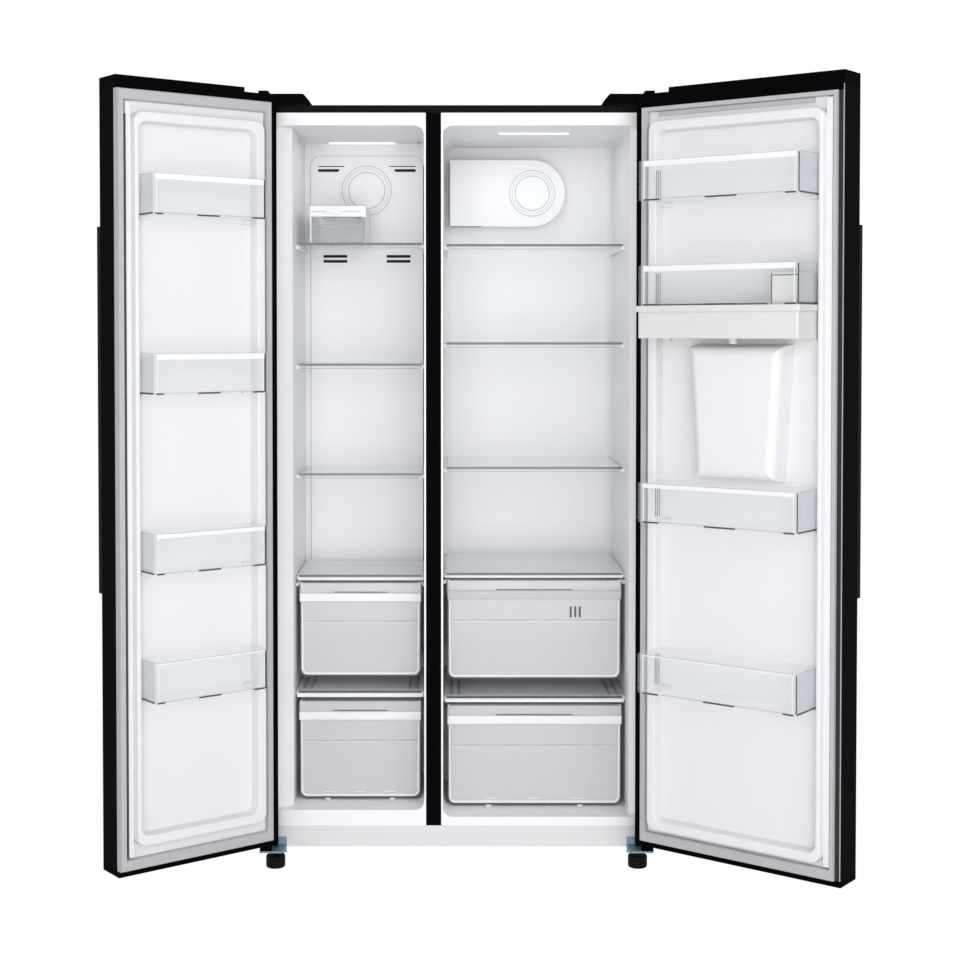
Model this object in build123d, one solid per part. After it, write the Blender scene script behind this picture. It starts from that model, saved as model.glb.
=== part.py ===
from build123d import *
from collections import namedtuple
import os

# Side by side refrigerator with both doors open, in millimetres.
# X runs to the right, Y runs to the back from the cabinet's front plane, and Z runs up from the floor.
# X is 0 on the cabinet's middle. Each door is drawn shut and is then swung open about its hinge pins.

# Fits and sheet
GAP = 0.3                   # air between pieces that move past each other
RUN = 0.05                  # radial clearance of a pin in its bore
SHEET = 1.2                 # steel sheet of the case, the pan and the door skins
LINER = 2.0                 # wall of the formed white plastic liners

# Cabinet
CASE_WIDTH = 900.0
CASE_DEPTH = 540.0
CASE_BOTTOM = 43.5
CASE_TOP = 1748.0
CASE_LIP = 12.0             # front return of the case's two sides
RAIL_HEIGHT = 16.0          # dark rail across the front under the top sheet
RAIL_DEPTH = 14.0
PLINTH_TOP = 92.0
PLINTH_DEPTH = 10.0
SPLIT_X = -53.0             # line between the two doors
MULLION_WIDTH = 35.0
MULLION_SLOT = (10.0, 150.0, 1.0)   # width, height and depth of the recess in the mullion cover
MULLION_SLOT_DROP = 538.0   # case's top to the recess's middle

# Insulation and compartments
DIVIDER = 43.0              # between the two compartments
FREEZER_WALL = 70.0         # side wall of the freezer
FRIDGE_WALL = 52.0          # side wall of the fridge
MOUTH_WALL = 36.0           # both side walls where they meet the front plane
FREEZER_FUNNEL = 45.0       # depth over which the mouth narrows to the compartment
FRIDGE_FUNNEL = 20.0
ROOF = 46.0
BACK_WALL = 70.0
FREEZER_FLOOR = 128.0
FRIDGE_FLOOR = 112.0
FREEZER_CORNER = 8.0        # radius of the two rear corners
FRIDGE_CORNER = 25.0
MOUTH_CORNER = 22.0         # radius of the four corners of a compartment's mouth
MACHINE_DEPTH = 195.0       # machine room, from the case's back
MACHINE_SLOPE = 20.0
MACHINE_TOP = 270.0
MACHINE_WALL = 50.0         # insulation over the machine room

# Shelves and covers: heights of the middle of the glass, with the shelves counted down from the case's top
GLASS = 5.0
SHELF_FRONT = 110.0
SHELF_SIDE = 4.0            # air beside a shelf
SHELF_REAR = 6.0            # air behind a shelf
SHELF_NOSE = 6.0            # radius of the front corners
FREEZER_SHELF_DROPS = (310.0, 594.0, 853.0)     # case's top to each shelf
FRIDGE_SHELF_DROPS = (313.0, 544.0, 838.0)
FREEZER_COVERS = (654.5, 384.0)     # over the upper and the lower drawer
FRIDGE_COVERS = (659.0, 371.0)
LOWER_FRONT = 88.0          # front edge of the lower covers
RIB_WIDTH = 9.0             # ribs that stand in from the side walls
RIB_HEIGHT = 8.0
RIB_SETBACK = 14.0          # rib behind the front edge of what it carries

# Drawers
DRAWER_WALL = 2.5
DRAWER_INSET = 10.0         # drawer side to compartment wall
DRAWER_RADIUS = 16.0        # lower long edges
DRAWER_REAR = 8.0           # air behind a drawer
UPPER_DRAWER_FRONT = 107.0
LOWER_DRAWER_FRONT = 90.0
FREEZER_UPPER = (417.0, 639.0)      # bottom and top
FRIDGE_UPPER = (411.0, 645.0)
FREEZER_LOWER_TOP = 362.0
FRIDGE_LOWER_TOP = 352.0
FLOOR_RIB = (12.0, 4.0)             # width and height of the two ribs under a lower drawer
RIM = (6.0, 3.0)                    # width and thickness of an upper drawer's side rim
BAND_DROP = 25.0            # handle band below the drawer's top
BAND_HEIGHT = 20.0
BAND_PROUD = 8.0
BAND_ROUND = 2.6

# Freezer duct cover, blank disc, fan and evaporator
DUCT_DEPTH = 105.0          # duct cover's face to the back wall
DUCT_WALL = 2.5
DUCT_SIDE = 15.0            # cover to the left side wall
DUCT_RIGHT = 10.0
DUCT_TOP_DROP = 32.0        # ceiling to the cover's top
DUCT_CORNER = 22.0
VENT_HEIGHT = 7.0
VENT_PITCH = 12.5
VENT_SLANT = 6.0            # lean of the upper vents' inner ends
VENT_ROUND = 2.0
UPPER_VENT = (18.0, 71.0, 56.0, 23.0)   # inset, long and short length, drop from the cover's top
LOWER_VENT = (31.0, 60.0, 60.0, 250.0)
DISC_DROP = 86.0            # cover's top to the disc's middle
DISC_RADIUS = 62.0
DISC_CORE = 46.0
DISC_STEP = 3.0
MOTOR = (20.0, 22.0)        # radius and length of the fan's motor
FAN_PIN = 4.0
FAN_HUB = (15.0, 22.0)      # radius and length
FAN_RADIUS = 46.0
FAN_BLADES = 5
BLADE_PITCH = 35.0          # degrees
BLADE = 2.0
EVAPORATOR = (420.0, 760.0)         # bottom and top
EVAPORATOR_DEPTH = 66.0
FIN_COUNT = 14
FIN = 1.0
TUBE_RADIUS = 4.5
TUBE_ROWS = 4

# Fridge air duct and lamps
AIR_LENGTH = 281.0
AIR_HEIGHT = 168.0
AIR_DEPTH = 50.0
AIR_SIDE = 15.0             # duct's wing to the left wall
AIR_DROP = 120.0            # ceiling to the duct's middle
AIR_DISC_RADIUS = 58.0
AIR_DISC_CORE = 44.0
AIR_DISC_INSET = 83.0       # duct's round end to the disc's middle
LAMP = (166.0, 11.0, 3.0)   # width, depth and thickness
LAMP_CORNER = 5.0
FREEZER_LAMP_AHEAD = 14.0   # lamp in front of the duct cover
FREEZER_LAMP_LEFT = 8.0     # lamp to the left of the freezer's middle
FRIDGE_LAMP_Y = 150.0
SLIT = (5.0, 28.0, 8.0)     # width, height and pitch of the return slits in the fridge's back wall
SLIT_COUNT = 3
SLIT_Z = 509.0
SLIT_INSET = 83.0           # right wall to the last slit

# Ice maker on the freezer's first shelf
ICE_INSET = 35.0            # left wall to the frame
ICE_WIDTH = 131.0
ICE_FRONT = 114.0
ICE_REAR = 13.0             # frame to the shelf's back edge
ICE_WALL = 3.0
ICE_FRAME_HEIGHT = 88.0
ICE_BRIDGE = 27.0           # height of the cross pieces that carry the tray
ICE_BOX_HEIGHT = 56.0
ICE_BOX_REAR = 40.0         # lower back wall, clear of the turned tray
TRAY_REAR = 9.0             # tray to the frame's back, clear of the box's back wall
ICE_AXIS = 75.0             # tray axis above the shelf
ICE_PIN = 4.0
TRAY_HALF = 42.0
TRAY_BELOW = 13.0
TRAY_ABOVE = 7.0
TRAY_WEB = 3.0
TRAY_COLUMNS = 2
TRAY_ROWS = 6
LEVER = (9.0, 6.0, 26.0)    # radius of the boss, thickness and length of the lever

# Doors, drawn shut
DOOR_RISE = 25.0            # door top above the case
DOOR_BOTTOM = 67.5
DOOR_THICK = 79.0
DOOR_STANDOFF = 16.0        # cabinet front to the door's back, filled by the gasket
DOOR_GAP = 4.0              # between the two doors
DOOR_EDGE = 4.0             # radius of the front vertical edges
DOOR_OPEN = 142.5           # degrees
PIVOT_SIDE = 15.0           # hinge pin in from the door's outer side
PIVOT_DEPTH = 30.0          # hinge pin in front of the door's back
CAP_TOP = 29.0              # height of the plastic end caps
CAP_BOTTOM = 14.0
CAP_WALL = 3.0
NOTCH_LENGTH = 82.0         # lowered part of the top cap under the hinge
NOTCH_DROP = 10.0
SEAL_HINGE = 10.0           # gasket in from the hinge side
FREEZER_SEAL_FREE = 3.0     # gasket in from the free side
FRIDGE_SEAL_FREE = 7.0
SEAL_WIDTH = 25.0
SEAL_FOOT = 5.0             # height of the gasket's foot
SEAL_TUBE = 13.0            # width of the gasket's magnet tube
SEAL_TUBE_INSET = 4.0       # tube in from the foot's outer edge
RIDGE_HEIGHT = 28.0         # raised frame of the door liner
RIDGE_TAPER = 5.0           # degrees
RIDGE_HINGE_INSET = 8.0     # ridge inside the cabinet's mouth
RIDGE_SEAL = 1.5            # ridge to gasket at the free side
RIDGE_HINGE_WIDTH = 25.0
RIDGE_FREE_WIDTH = 15.0
RIDGE_END_INSET = 3.0       # ridge inside the floor and the ceiling
RIDGE_END_WIDTH = 26.0
RIDGE_CORNER = 24.0
WELL_CORNER = 16.5
RIDGE_ROUND = 4.0

# Door bins
BIN_SIDE = 1.5              # bin to ridge
BIN_WALL = 2.5
BIN_HEIGHT = 87.0
BIN_BACK = 1.0              # bin to door liner
FREEZER_BIN_DEPTH = 82.0
FRIDGE_BIN_DEPTH = 109.0
BIN_CORNER = 5.0
BIN_HEEL = 4.0              # radius of the lower edges
FREEZER_BIN_DROPS = (272.0, 650.0, 1029.0, 1301.0)      # case's top to each bin's bottom
FRIDGE_BIN_DROPS = (234.0, 461.0, 933.0, 1307.0)
LUG = (18.0, 12.0, 6.0)     # width, depth and height of the lugs under a bin

# Water tank and dispenser in the fridge door
TANK_HEIGHT = 70.0
TANK_WALL = 3.0
TANK_LIP = (5.0, 13.0)      # overhang and height of the rim round the tank's top
NECK = (60.0, 78.0, 66.0)   # width, depth and height of the fill box
NECK_INSET = 8.0            # fill box in from the tank's end
LID = 2.5
LID_PIN = 2.0
TAP = (9.0, 12.0)           # radius and length of the tank's outlet
NICHE_MIDDLE = 176.0
NICHE_WIDTH = 170.0
NICHE_DROP = 558.0          # case's top to the niche's top
NICHE_HEIGHT = 265.0
NICHE_PAST = 32.0           # niche's back past the door's back
NICHE_WALL = 3.0
BEZEL = (12.0, 2.0)         # width and thickness of the niche's front rim
BULGE_SIDE = 31.0           # bulge wider than the niche at its top
BULGE_NARROW = 18.0         # how much each side draws in towards the bottom
BULGE_OVER = 14.0           # bulge above and below the niche
BULGE_PROUD = 56.0          # bulge above the door liner
BULGE_TAPER = 7.0
BULGE_ROUND = 20.0
SPOUT = (8.0, 24.0)         # radius and length
PADDLE_WIDTH = 60.0
PADDLE_CLEAR = 93.0         # paddle above the niche's bottom
PADDLE = 4.0
PADDLE_DROP = 62.0          # paddle pin below the niche's roof
PADDLE_PIN = 2.5
PADDLE_EAR = 6.0
PADDLE_ROUND = 15.0         # radius of the paddle's lower corners
PADDLE_OFF = 16.0           # paddle pin in front of the niche's back

# Door handles
HANDLE = (666.0, CASE_TOP - 292.0)  # bottom and top
HANDLE_WIDTH = 28.0
HANDLE_PROUD = 13.0
HANDLE_WALL = 3.0

# Hinges, feet and rollers
PIN = 5.0                   # radius of the hinge pins
PIN_DEPTH = 20.0            # how far a pin reaches into its cap
PLATE = 4.0                 # hinge steel
TONGUE = 8.5                # half width of the hinge tongue
UPPER_PLATE = (100.0, 76.0)         # width and depth on the case's top
UPPER_PLATE_SIDE = 6.0
UPPER_PLATE_BACK = 12.0
COVER_WALL = 2.0
COVER_SIDE = 4.0            # hinge cover in from the case's side
COVER_LENGTH = 111.0
COVER_FRONT = -8.0
COVER_DEPTH = 103.0
COVER_SLOPE = 14.0
COVER_RELIEF = 3.0          # outer front corner cut back for the open door
COVER_KNEE = 8.3            # height at which the inner end starts to slope
BRACKET_WIDTH = 57.0
BRACKET_SIDE = 1.0
BRACKET_TOP = 50.0          # top of the lower hinge's level plate
BRACKET_FLANGE = (30.0, 66.0)       # bottom and top of its upright flange
BRACKET_UPRIGHT = 3.0
BOSS = 14.0                 # radius of the door's lower boss
SCREW_HEAD = (6.0, 3.5)     # radius and height
SCREW_SHANK = (2.5, 9.0)
FOOT_SIDE = 33.5            # foot in from the case's side
FOOT_Y = -10.0
FOOT_RADIUS = 22.0
FOOT_HEIGHT = 28.0
FOOT_ROUND = 4.0
FOOT_STUD = (5.0, 56.0)     # radius, and height of its tip above the floor
ROLLER = (21.0, 16.0)       # radius and width
ROLLER_SIDE = 70.0
ROLLER_BACK = 60.0          # axle to the case's back
AXLE = 4.0
EAR = 3.0
EAR_HALF = 12.0

# Machine room
COMPRESSOR = (70.0, 150.0)  # radius and height
COMPRESSOR_DOME = 35.0
COMPRESSOR_X = 200.0
COMPRESSOR_LEG = (14.0, 12.0)       # radius and height of its rubber feet
COMPRESSOR_BASE = (90.0, 60.0, 3.0)  # half length, half depth and thickness of its base
GRILLE = (120.0, 7.0, 18.0)         # length, height and pitch of the slots in the rear cover
GRILLE_ROWS = 7
GLAND = (11.0, 8.0, 4.5)    # radius, length and bore of the lead's gland
GLAND_X = -300.0
GLAND_Z = 90.0

# Places that follow from the sizes above
HALF = CASE_WIDTH / 2
CEILING = CASE_TOP - ROOF
FREEZER_SHELVES = [CASE_TOP - drop for drop in FREEZER_SHELF_DROPS]
FRIDGE_SHELVES = [CASE_TOP - drop for drop in FRIDGE_SHELF_DROPS]
FREEZER_BINS = [CASE_TOP - drop for drop in FREEZER_BIN_DROPS]
FRIDGE_BINS = [CASE_TOP - drop for drop in FRIDGE_BIN_DROPS]
BACK = CASE_DEPTH - BACK_WALL
NICHE_TOP = CASE_TOP - NICHE_DROP
NICHE_BOTTOM = NICHE_TOP - NICHE_HEIGHT
DUCT_FRONT = BACK - DUCT_DEPTH
MACHINE_FRONT = CASE_DEPTH - MACHINE_DEPTH
ROLLER_Y = CASE_DEPTH - ROLLER_BACK
PAN_TOP = CASE_BOTTOM + SHEET
STEP_Y = MACHINE_FRONT - MACHINE_WALL
STEP_TOP = MACHINE_TOP + MACHINE_WALL
RAIL_TOP = CASE_TOP - SHEET
RAIL_BOTTOM = RAIL_TOP - RAIL_HEIGHT
DOOR_TOP = CASE_TOP + DOOR_RISE
DOOR_BACK = -DOOR_STANDOFF
DOOR_FRONT = DOOR_BACK - DOOR_THICK
NOTCH_TOP = DOOR_TOP - NOTCH_DROP
SEAL_BOTTOM = DOOR_BOTTOM + CAP_BOTTOM
SEAL_TOP = DOOR_TOP - CAP_TOP
PIVOT_X = HALF - PIVOT_SIDE
PIVOT_Y = DOOR_BACK - PIVOT_DEPTH
RIDGE_TOP = DOOR_BACK + RIDGE_HEIGHT
MULLION_LEFT = SPLIT_X - MULLION_WIDTH / 2
MULLION_RIGHT = SPLIT_X + MULLION_WIDTH / 2
FOOT_X = HALF - FOOT_SIDE
ROLLER_X = HALF - ROLLER_SIDE
PAST = 1.0                  # how far a cutter runs past a face

Room = namedtuple("Room", "left right mouth_left mouth_right floor corner funnel shelf_back")
freezer = Room(-HALF + FREEZER_WALL, SPLIT_X - DIVIDER / 2, -HALF + MOUTH_WALL, SPLIT_X - DIVIDER / 2,
               FREEZER_FLOOR, FREEZER_CORNER, FREEZER_FUNNEL, DUCT_FRONT - SHELF_REAR)
fridge = Room(SPLIT_X + DIVIDER / 2, HALF - FRIDGE_WALL, SPLIT_X + DIVIDER / 2, HALF - MOUTH_WALL,
              FRIDGE_FLOOR, FRIDGE_CORNER, FRIDGE_FUNNEL, BACK - SHELF_REAR)

Drawer = namedtuple("Drawer", "left right front back bottom top rim")
Door = namedtuple("Door", "side left right seal_left seal_right "
                  "ridge_left ridge_right well_left well_right room")


def block(x0, x1, y0, y1, z0, z1):
    """Box between two corners."""
    return Pos((x0 + x1) / 2, (y0 + y1) / 2, (z0 + z1) / 2) * Box(x1 - x0, y1 - y0, z1 - z0)


def mirrored_block(side, x0, x1, y0, y1, z0, z1):
    """Box on the left (-1) or the right (1) of the cabinet, with x counted from its middle."""
    return block(min(side * x0, side * x1), max(side * x0, side * x1), y0, y1, z0, z1)


def rod_x(radius, x0, x1, y, z):
    return Pos((x0 + x1) / 2, y, z) * Rot(0, 90, 0) * Cylinder(radius, x1 - x0)


def rod_y(radius, x, y0, y1, z):
    return Pos(x, (y0 + y1) / 2, z) * Rot(90, 0, 0) * Cylinder(radius, y1 - y0)


def rod_z(radius, x, y, z0, z1):
    return Pos(x, y, (z0 + z1) / 2) * Cylinder(radius, z1 - z0)


def prism(points, direction, length):
    """Solid swept straight from a closed outline of 3-D points."""
    return extrude(make_face(Polyline(*points, close=True)), amount=length, dir=direction)


def column(plan, z0, z1):
    return prism([(x, y, z0) for x, y in plan], (0, 0, 1), z1 - z0)


def beam(outline, x0, x1):
    return prism([(x0, y, z) for y, z in outline], (1, 0, 0), x1 - x0)


def panel(outline, y0, y1):
    return prism([(x, y0, z) for x, z in outline], (0, 1, 0), y1 - y0)


def raised(x0, x1, z0, z1, y0, y1, corner, taper):
    """Rounded rectangle raised along Y, with sides that lean in by taper degrees."""
    plane = Plane(origin=((x0 + x1) / 2, y0, (z0 + z1) / 2), x_dir=(1, 0, 0), z_dir=(0, 1, 0))
    return extrude(plane * RectangleRounded(x1 - x0, z1 - z0, corner), amount=y1 - y0, taper=taper)


def along(shape, axis):
    return shape.edges().filter_by(axis)


def front_edges(shape):
    """Vertical edges nearest to the front."""
    return along(shape, Axis.Z).group_by(Axis.Y)[0]


# Case, rails and base

def outer_case():
    """Painted sheet bent over the top and both sides, with narrow returns at the front."""
    case = block(-HALF, HALF, 0, CASE_DEPTH, CASE_BOTTOM, CASE_TOP)
    case -= block(-HALF + SHEET, HALF - SHEET, -PAST, CASE_DEPTH + PAST, CASE_BOTTOM - PAST, CASE_TOP - SHEET)
    for side in (-1, 1):
        case += mirrored_block(side, HALF - CASE_LIP, HALF, 0, SHEET, PLINTH_TOP, RAIL_BOTTOM)
    return case - upper_screws()


def rear_panel():
    return block(-HALF + SHEET, HALF - SHEET, CASE_DEPTH - SHEET, CASE_DEPTH, MACHINE_TOP, RAIL_TOP)


def base_pan():
    """Floor sheet, the sloped front and roof of the machine room, and the ears for the rear axle."""
    left, right = -HALF + SHEET, HALF - SHEET
    rear = CASE_DEPTH - SHEET
    pan = block(left, right, PLINTH_DEPTH, rear, CASE_BOTTOM, PAN_TOP)
    slope_end = MACHINE_FRONT + MACHINE_SLOPE
    pan += beam([(MACHINE_FRONT, PAN_TOP - SHEET / 2), (slope_end, MACHINE_TOP), (rear, MACHINE_TOP),
                 (rear, MACHINE_TOP - SHEET), (slope_end + SHEET, MACHINE_TOP - SHEET),
                 (MACHINE_FRONT + SHEET, PAN_TOP - SHEET / 2)], left, right)
    axle_z = ROLLER[0]
    for side in (-1, 1):
        for edge in (-1, 1):
            inner = ROLLER_X + edge * (ROLLER[1] / 2 + PAST + EAR / 2)
            pan += mirrored_block(side, inner - EAR / 2, inner + EAR / 2,
                                  ROLLER_Y - EAR_HALF, ROLLER_Y + EAR_HALF,
                                  axle_z - EAR_HALF, CASE_BOTTOM + SHEET / 2)
    return pan - rod_x(AXLE + RUN, -HALF, HALF, ROLLER_Y, axle_z)


def top_rail():
    return block(-HALF + SHEET, HALF - SHEET, 0, RAIL_DEPTH, RAIL_BOTTOM, RAIL_TOP) - upper_screws()


def plinth_rail():
    return block(-HALF + SHEET, HALF - SHEET, 0, PLINTH_DEPTH, CASE_BOTTOM, PLINTH_TOP) - lower_screws()


def mullion_cover():
    """Black strip between the compartments, with a shallow recess where the two doors meet."""
    width, height, depth = MULLION_SLOT
    slot_z = CASE_TOP - MULLION_SLOT_DROP
    cover = block(MULLION_LEFT, MULLION_RIGHT, 0, LINER, PLINTH_TOP, RAIL_BOTTOM)
    return cover - block(SPLIT_X, SPLIT_X + width, -PAST, depth,
                         slot_z - height / 2, slot_z + height / 2)


def cabinet_foam():
    """Insulation that fills the case around both liners and over the machine room."""
    rear = CASE_DEPTH - SHEET
    outline = [(LINER, PAN_TOP), (MACHINE_FRONT, PAN_TOP), (MACHINE_FRONT + MACHINE_SLOPE, MACHINE_TOP),
               (rear, MACHINE_TOP), (rear, RAIL_TOP), (LINER, RAIL_TOP)]
    foam = beam(outline, -HALF + SHEET, HALF - SHEET)
    foam -= block(-HALF, HALF, 0, RAIL_DEPTH, RAIL_BOTTOM, CASE_TOP)
    foam -= block(-HALF, HALF, 0, PLINTH_DEPTH, CASE_BOTTOM, PLINTH_TOP)
    for room in (freezer, fridge):
        foam -= tub(room, LINER)
    return foam - upper_screws() - lower_screws()


# Compartments

def tub(room, grow):
    """Space inside a compartment, grown out by a wall: its plan, side outline and round mouth crossed."""
    mouth = -PAST
    plan = [(room.mouth_left - grow, mouth), (room.mouth_left - grow, 0), (room.left - grow, room.funnel),
            (room.left - grow, BACK + grow), (room.right + grow, BACK + grow),
            (room.right + grow, room.funnel), (room.mouth_right + grow, 0), (room.mouth_right + grow, mouth)]
    outline = [(mouth, room.floor - grow), (STEP_Y + grow, room.floor - grow),
               (STEP_Y + MACHINE_SLOPE + grow, STEP_TOP - grow), (BACK + grow, STEP_TOP - grow),
               (BACK + grow, CEILING + grow), (mouth, CEILING + grow)]
    walls = column(plan, room.floor - grow, CEILING + grow)
    walls = fillet(along(walls, Axis.Z).group_by(Axis.Y)[-1], room.corner + grow)
    mouth_shape = raised(room.mouth_left - grow, room.mouth_right + grow, room.floor - grow, CEILING + grow,
                         mouth, BACK + grow, MOUTH_CORNER + grow, 0)
    return walls & beam(outline, room.mouth_left - grow, room.mouth_right + grow) & mouth_shape


def wall_ribs(room, top, front):
    """A pair of ribs that stand in from the side walls and carry a shelf or a drawer."""
    y0, y1 = front + RIB_SETBACK, room.shelf_back - RIB_SETBACK
    z0 = top - RIB_HEIGHT
    return [block(room.left - LINER / 2, room.left + RIB_WIDTH, y0, y1, z0, top),
            block(room.right - RIB_WIDTH, room.right + LINER / 2, y0, y1, z0, top)]


def floor_ribs(room):
    width, height = FLOOR_RIB
    quarter = (room.right - room.left) / 4
    middles = (room.left + quarter, room.right - quarter)
    return [block(x - width / 2, x + width / 2, LOWER_DRAWER_FRONT, STEP_Y - DRAWER_REAR,
                  room.floor - LINER / 2, room.floor + height) for x in middles]


def liner(room, flange_left, flange_right, shelves, covers, upper):
    """Formed white tub with a flat front flange, shelf ribs, drawer rails and floor ribs."""
    shell = tub(room, LINER) & block(-HALF, HALF, 0, CASE_DEPTH, CASE_BOTTOM, CASE_TOP)
    shell += block(flange_left, flange_right, 0, LINER, PLINTH_TOP, RAIL_BOTTOM)
    shell -= tub(room, 0)
    for z in shelves:
        shell += wall_ribs(room, z - GLASS / 2, SHELF_FRONT)
    for z, front in zip(covers, (SHELF_FRONT, LOWER_FRONT)):
        shell += wall_ribs(room, z - GLASS / 2, front)
    shell += wall_ribs(room, upper.top - RIM[1] - GAP, upper.front)
    return shell + floor_ribs(room)


def freezer_liner():
    return liner(freezer, -HALF + CASE_LIP, MULLION_LEFT, FREEZER_SHELVES, FREEZER_COVERS, freezer_upper)


def fridge_liner():
    """Fridge tub, with the return slits low in its back wall."""
    width, height, pitch = SLIT
    tub_wall = liner(fridge, MULLION_RIGHT, HALF - CASE_LIP, FRIDGE_SHELVES, FRIDGE_COVERS, fridge_upper)
    for index in range(SLIT_COUNT):
        x = fridge.right - SLIT_INSET - index * pitch
        tub_wall -= block(x - width / 2, x + width / 2, BACK - PAST, BACK + LINER + PAST,
                          SLIT_Z - height / 2, SLIT_Z + height / 2)
    return tub_wall


def glass_plate(room, z, front):
    """Glass shelf with small front corners and rear corners that follow the compartment."""
    plate = block(room.left + SHELF_SIDE, room.right - SHELF_SIDE, front, room.shelf_back,
                  z - GLASS / 2, z + GLASS / 2)
    plate = fillet(front_edges(plate), SHELF_NOSE)
    return fillet(along(plate, Axis.Z).group_by(Axis.Y)[-1], room.corner)


def glass_shelves():
    return Compound([glass_plate(room, z, SHELF_FRONT)
                     for room, heights in ((freezer, FREEZER_SHELVES), (fridge, FRIDGE_SHELVES))
                     for z in heights])


def drawer_covers():
    return Compound([glass_plate(room, z, front)
                     for room, heights in ((freezer, FREEZER_COVERS), (fridge, FRIDGE_COVERS))
                     for z, front in zip(heights, (SHELF_FRONT, LOWER_FRONT))])


def lamp_lenses():
    """A flat lamp on each ceiling."""
    width, depth, thick = LAMP
    lamps = []
    for room, aside, y in ((freezer, FREEZER_LAMP_LEFT, DUCT_FRONT - FREEZER_LAMP_AHEAD),
                           (fridge, 0, FRIDGE_LAMP_Y)):
        x = (room.left + room.right) / 2 - aside
        lamp = block(x - width / 2, x + width / 2, y - depth / 2, y + depth / 2, CEILING - thick, CEILING)
        lamps.append(fillet(along(lamp, Axis.Z), LAMP_CORNER))
    return Compound(lamps)


# Freezer duct, fan and evaporator

duct_left = freezer.left + DUCT_SIDE
duct_right = freezer.right - DUCT_RIGHT
duct_middle = (duct_left + duct_right) / 2
duct_top = CEILING - DUCT_TOP_DROP
disc_z = duct_top - DISC_DROP
motor_end = DUCT_FRONT + DUCT_WALL + MOTOR[1]
fan_front = motor_end + PAST
fan_back = fan_front + FAN_HUB[1]


def vent_slot(outer, inner, z, lean):
    """Cutter for a vent slot with round corners, whose inner end leans."""
    low, high = z - VENT_HEIGHT / 2, z + VENT_HEIGHT / 2
    outline = [(outer, low), (inner - lean, low), (inner, high), (outer, high)]
    if outer > inner:
        outline.reverse()
    slot = panel(outline, DUCT_FRONT - DISC_STEP, DUCT_FRONT + DUCT_WALL + PAST)
    return fillet(along(slot, Axis.Y), VENT_ROUND)


def duct_vents():
    """Two rows of slots on each side, above and below the first shelf, mirrored about the cover."""
    slots = []
    for (inset, long_length, short_length, drop), lean in ((UPPER_VENT, VENT_SLANT), (LOWER_VENT, 0)):
        for row, length in enumerate((long_length, short_length)):
            z = duct_top - drop - row * VENT_PITCH
            slots.append(vent_slot(duct_left + inset, duct_left + inset + length, z, lean))
            slots.append(vent_slot(duct_right - inset, duct_right - inset - length, z, -lean))
    return slots


def freezer_duct_cover():
    """White panel boxed against the back wall, with vents, a blank disc and the fan's motor inside."""
    cover = block(duct_left, duct_right, DUCT_FRONT, BACK, STEP_TOP, duct_top)
    cover = fillet(along(cover, Axis.Y).group_by(Axis.Z)[-1], DUCT_CORNER)
    cover -= block(duct_left + DUCT_WALL, duct_right - DUCT_WALL, DUCT_FRONT + DUCT_WALL, BACK + PAST,
                   STEP_TOP - PAST, duct_top - DUCT_CORNER)
    for slot in duct_vents():
        cover -= slot
    cover += rod_y(DISC_RADIUS, duct_middle, DUCT_FRONT - DISC_STEP, DUCT_FRONT + PAST, disc_z)
    cover += rod_y(DISC_CORE, duct_middle, DUCT_FRONT - 2 * DISC_STEP, DUCT_FRONT + PAST, disc_z)
    cover += rod_y(MOTOR[0], duct_middle, DUCT_FRONT + DUCT_WALL / 2, motor_end, disc_z)
    return cover + rod_y(FAN_PIN, duct_middle, motor_end - PAST, fan_back, disc_z)


def evaporator_fan():
    """Hub and pitched blades that turn on the motor's pin."""
    middle = (fan_front + fan_back) / 2
    fan = rod_y(FAN_HUB[0], duct_middle, fan_front, fan_back, disc_z)
    span = FAN_RADIUS - FAN_HUB[0] / 2
    for index in range(FAN_BLADES):
        blade = Pos(FAN_HUB[0] / 2 + span / 2, 0, 0) * Rot(BLADE_PITCH, 0, 0) * Box(span, BLADE, FAN_HUB[1])
        fan += Pos(duct_middle, middle, disc_z) * Rot(0, 360 / FAN_BLADES * index, 0) * blade
    return fan - rod_y(FAN_PIN + RUN, duct_middle, fan_front - PAST, fan_back + PAST, disc_z)


def evaporator():
    """Finned coil behind the duct cover; its end plates reach the back wall."""
    bottom, top = EVAPORATOR
    left, right = duct_left + DUCT_SIDE, duct_right - DUCT_SIDE
    front = DUCT_FRONT + DUCT_CORNER
    pitch = (right - left - FIN) / (FIN_COUNT - 1)
    coil = Part()
    for index in range(FIN_COUNT):
        x = left + index * pitch
        rear = BACK if index in (0, FIN_COUNT - 1) else front + EVAPORATOR_DEPTH
        coil += block(x, x + FIN, front, rear, bottom, top)
    for row in range(TUBE_ROWS):
        z = bottom + (row + 0.5) * (top - bottom) / TUBE_ROWS
        coil += rod_x(TUBE_RADIUS, left, right, front + EVAPORATOR_DEPTH / 2, z)
    return coil


def fridge_air_duct():
    """Flat white housing on the fridge's back wall with one round end and a blank disc."""
    left = fridge.left + fridge.corner
    right = left + AIR_LENGTH
    middle = CEILING - AIR_DROP
    front = BACK - AIR_DEPTH
    half = AIR_HEIGHT / 2
    duct = block(left, right - half, front, BACK, middle - half, middle + half)
    duct += rod_y(half, right - half, front, BACK, middle)
    inner = half - DUCT_WALL
    duct -= block(left + DUCT_WALL, right - half, front + DUCT_WALL, BACK + PAST,
                  middle - inner, middle + inner)
    duct -= rod_y(inner, right - half, front + DUCT_WALL, BACK + PAST, middle)
    duct += block(fridge.left + AIR_SIDE, left + DUCT_WALL, front, BACK - fridge.corner,
                  middle - half, middle + half)
    disc_x = right - AIR_DISC_INSET
    duct += rod_y(AIR_DISC_RADIUS, disc_x, front - DISC_STEP, front + PAST, middle)
    return duct + rod_y(AIR_DISC_CORE, disc_x, front - 2 * DISC_STEP, front + PAST, middle)


# Ice maker

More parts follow.
